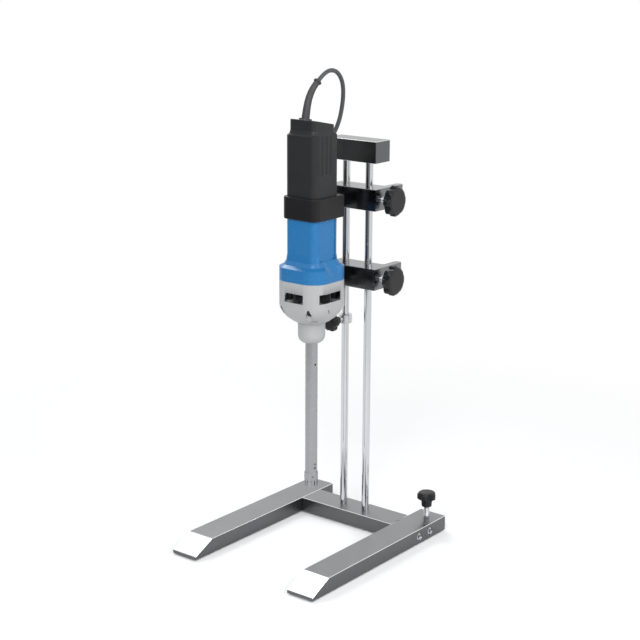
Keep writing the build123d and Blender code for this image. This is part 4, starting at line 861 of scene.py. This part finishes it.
def floor_fade(mat, start, end):
    """Fade the floor to plain white with distance where a camera, a reflection or a glass looks at it."""
    t = mat.node_tree
    shaded = t.nodes["Principled BSDF"].outputs[0]
    co = add(t, "ShaderNodeTexCoord").outputs["Object"]
    far = add(t, "ShaderNodeVectorMath", {0: co}, operation="LENGTH").outputs["Value"]
    fade = add(t, "ShaderNodeMapRange", {"Value": far, "From Min": start, "From Max": end},
               interpolation_type="SMOOTHSTEP").outputs[0]
    white = add(t, "ShaderNodeEmission", {"Color": (1, 1, 1, 1), "Strength": 1.0}).outputs[0]
    share = math_node(t, "MULTIPLY", looked_at(t), fade)
    both = add(t, "ShaderNodeMixShader", {0: share, 1: shaded, 2: white})
    t.links.new(both.outputs[0], t.nodes["Material Output"].inputs["Surface"])


def lamp(name, at, aim, size, power):
    li = bpy.data.lights.new(name, "AREA")
    li.shape, li.size, li.size_y, li.energy = "RECTANGLE", *size, power
    ob = placed(name, li)
    ob.location = at
    ob.rotation_euler = (Vector(aim) - Vector(at)).to_track_quat("-Z", "Y").to_euler()


class HOMOG_OT_stage(bpy.types.Operator):
    """Build the floor, soft lights, world and camera"""
    bl_idname = "homog.stage"
    bl_label = "Stage"

    def execute(self, context):
        s = context.scene.homog_stage
        scene = context.scene
        y, p, r = (math.radians(a) for a in (YAW, PITCH, ROLL))
        ahead = Vector((-math.sin(y) * math.cos(p), math.cos(y) * math.cos(p), -math.sin(p)))
        right = Vector((math.cos(y), math.sin(y), 0.0))
        up = right.cross(ahead)
        rr, uu = right * math.cos(r) + up * math.sin(r), up * math.cos(r) - right * math.sin(r)
        cam = bpy.data.cameras.new("camera")
        cam.sensor_width, cam.lens = SENSOR, FOCAL_PX / PHOTO_PX * SENSOR
        cam.clip_start, cam.clip_end = 0.05, 60.0
        scene.camera = placed("camera", cam)
        scene.camera.matrix_world = Matrix.Translation(CAMERA_AT) @ Matrix((rr, uu,
                                                                            -ahead)).transposed().to_4x4()
        scene.view_settings.view_transform = "Standard"

        me = bpy.data.meshes.new("floor")
        w = FLOOR_HALF
        me.from_pydata([(-w, -w, 0), (w, -w, 0), (w, w, 0), (-w, w, 0)], [], [(0, 1, 2, 3)])
        floor = placed("floor", me)
        m = bpy.data.materials.new("pale_floor")
        m.use_nodes = True
        b = m.node_tree.nodes["Principled BSDF"]
        b.inputs["Base Color"].default_value = (*s.floor, 1.0)
        b.inputs["Roughness"].default_value = 0.9
        b.inputs["Specular IOR Level"].default_value = 0.1
        floor_fade(m, s.white_from, s.white_to)
        me.materials.append(m)
        self.flag()

        world = bpy.data.worlds.new("studio")
        world.use_nodes = True
        scene.world = world
        t = world.node_tree
        bg = t.nodes["Background"]
        level = add(t, "ShaderNodeMapRange", {"Value": looked_at(t), "To Min": s.sky, "To Max": 1.0})
        t.links.new(level.outputs[0], bg.inputs["Strength"])
        bg.inputs["Color"].default_value = (1, 1, 1, 1)

        for name, at, aim, size, power, share in LAMPS:
            lamp(name, at, aim, size, getattr(s, power) * share)
        return {"FINISHED"}

    def flag(self):
        """A dark card bent round the front, seen only in reflections: darkest left, grey at its right end."""
        verts, faces = [], []
        for k in range(FLAG_STEPS + 1):
            a = math.radians(FLAG_FROM + (FLAG_TO - FLAG_FROM) * k / FLAG_STEPS)
            verts += [(FLAG_R * math.cos(a), FLAG_R * math.sin(a), z) for z in FLAG_Z]
            if k:
                faces.append((2 * k - 2, 2 * k, 2 * k + 1, 2 * k - 1))
        me = bpy.data.meshes.new("flag")
        me.from_pydata(verts, [], faces)
        tones = me.color_attributes.new("tone", "FLOAT_COLOR", "POINT")
        for k in range(FLAG_STEPS + 1):
            w = (k / FLAG_STEPS) ** 2
            tone = FLAG_TONES[0] * (1 - w) + FLAG_TONES[1] * w
            for n in (2 * k, 2 * k + 1):
                tones.data[n].color = (tone, tone, tone, 1.0)
        card = placed("flag", me)
        mat = bpy.data.materials.new("flag_card")
        mat.use_nodes = True
        t = mat.node_tree
        tone = add(t, "ShaderNodeAttribute", attribute_name="tone").outputs["Color"]
        glow = add(t, "ShaderNodeEmission", {"Color": tone, "Strength": 1.0})
        t.links.new(glow.outputs[0], t.nodes["Material Output"].inputs["Surface"])
        me.materials.append(mat)
        card.visible_camera = card.visible_diffuse = card.visible_shadow = card.visible_transmission = False


# in the order in which they run
OPERATORS = (HOMOG_OT_stage, HOMOG_OT_cord_strap, HOMOG_OT_mains_cord, HOMOG_OT_stand, HOMOG_OT_clamps,
             HOMOG_OT_threads, HOMOG_OT_knurls, HOMOG_OT_motor_unit, HOMOG_OT_drive)
PROPS = ("homog_stand", "homog_motor", "homog_cord", "homog_stage")


class HOMOG_PT_panel(bpy.types.Panel):
    """The homogenizer's finishing steps"""
    bl_idname = "HOMOG_PT_panel"
    bl_label = "Homogenizer"
    bl_space_type = "VIEW_3D"
    bl_region_type = "UI"
    bl_category = "Homogenizer"

    def draw(self, context):
        for cls in OPERATORS:
            self.layout.operator(cls.bl_idname)
        for name in PROPS:
            box = self.layout.box()
            group_props = getattr(context.scene, name)
            for key in group_props.__annotations__:
                box.prop(group_props, key)


CLASSES = (StandProps, MotorProps, CordProps, StageProps) + OPERATORS + (HOMOG_PT_panel,)


def register():
    for cls in CLASSES:
        bpy.utils.register_class(cls)
    bpy.types.Scene.homog_stand = PointerProperty(type=StandProps)
    bpy.types.Scene.homog_motor = PointerProperty(type=MotorProps)
    bpy.types.Scene.homog_cord = PointerProperty(type=CordProps)
    bpy.types.Scene.homog_stage = PointerProperty(type=StageProps)


def unregister():
    for name in PROPS:
        delattr(bpy.types.Scene, name)
    for cls in reversed(CLASSES):
        bpy.utils.unregister_class(cls)


def main():
    register()
    for build in (relief_group, grain_group, drift_group, wear_group):
        build()
    for cls in OPERATORS:
        getattr(bpy.ops.homog, cls.bl_idname.split(".")[1])()


if __name__ == "__main__":
    main()
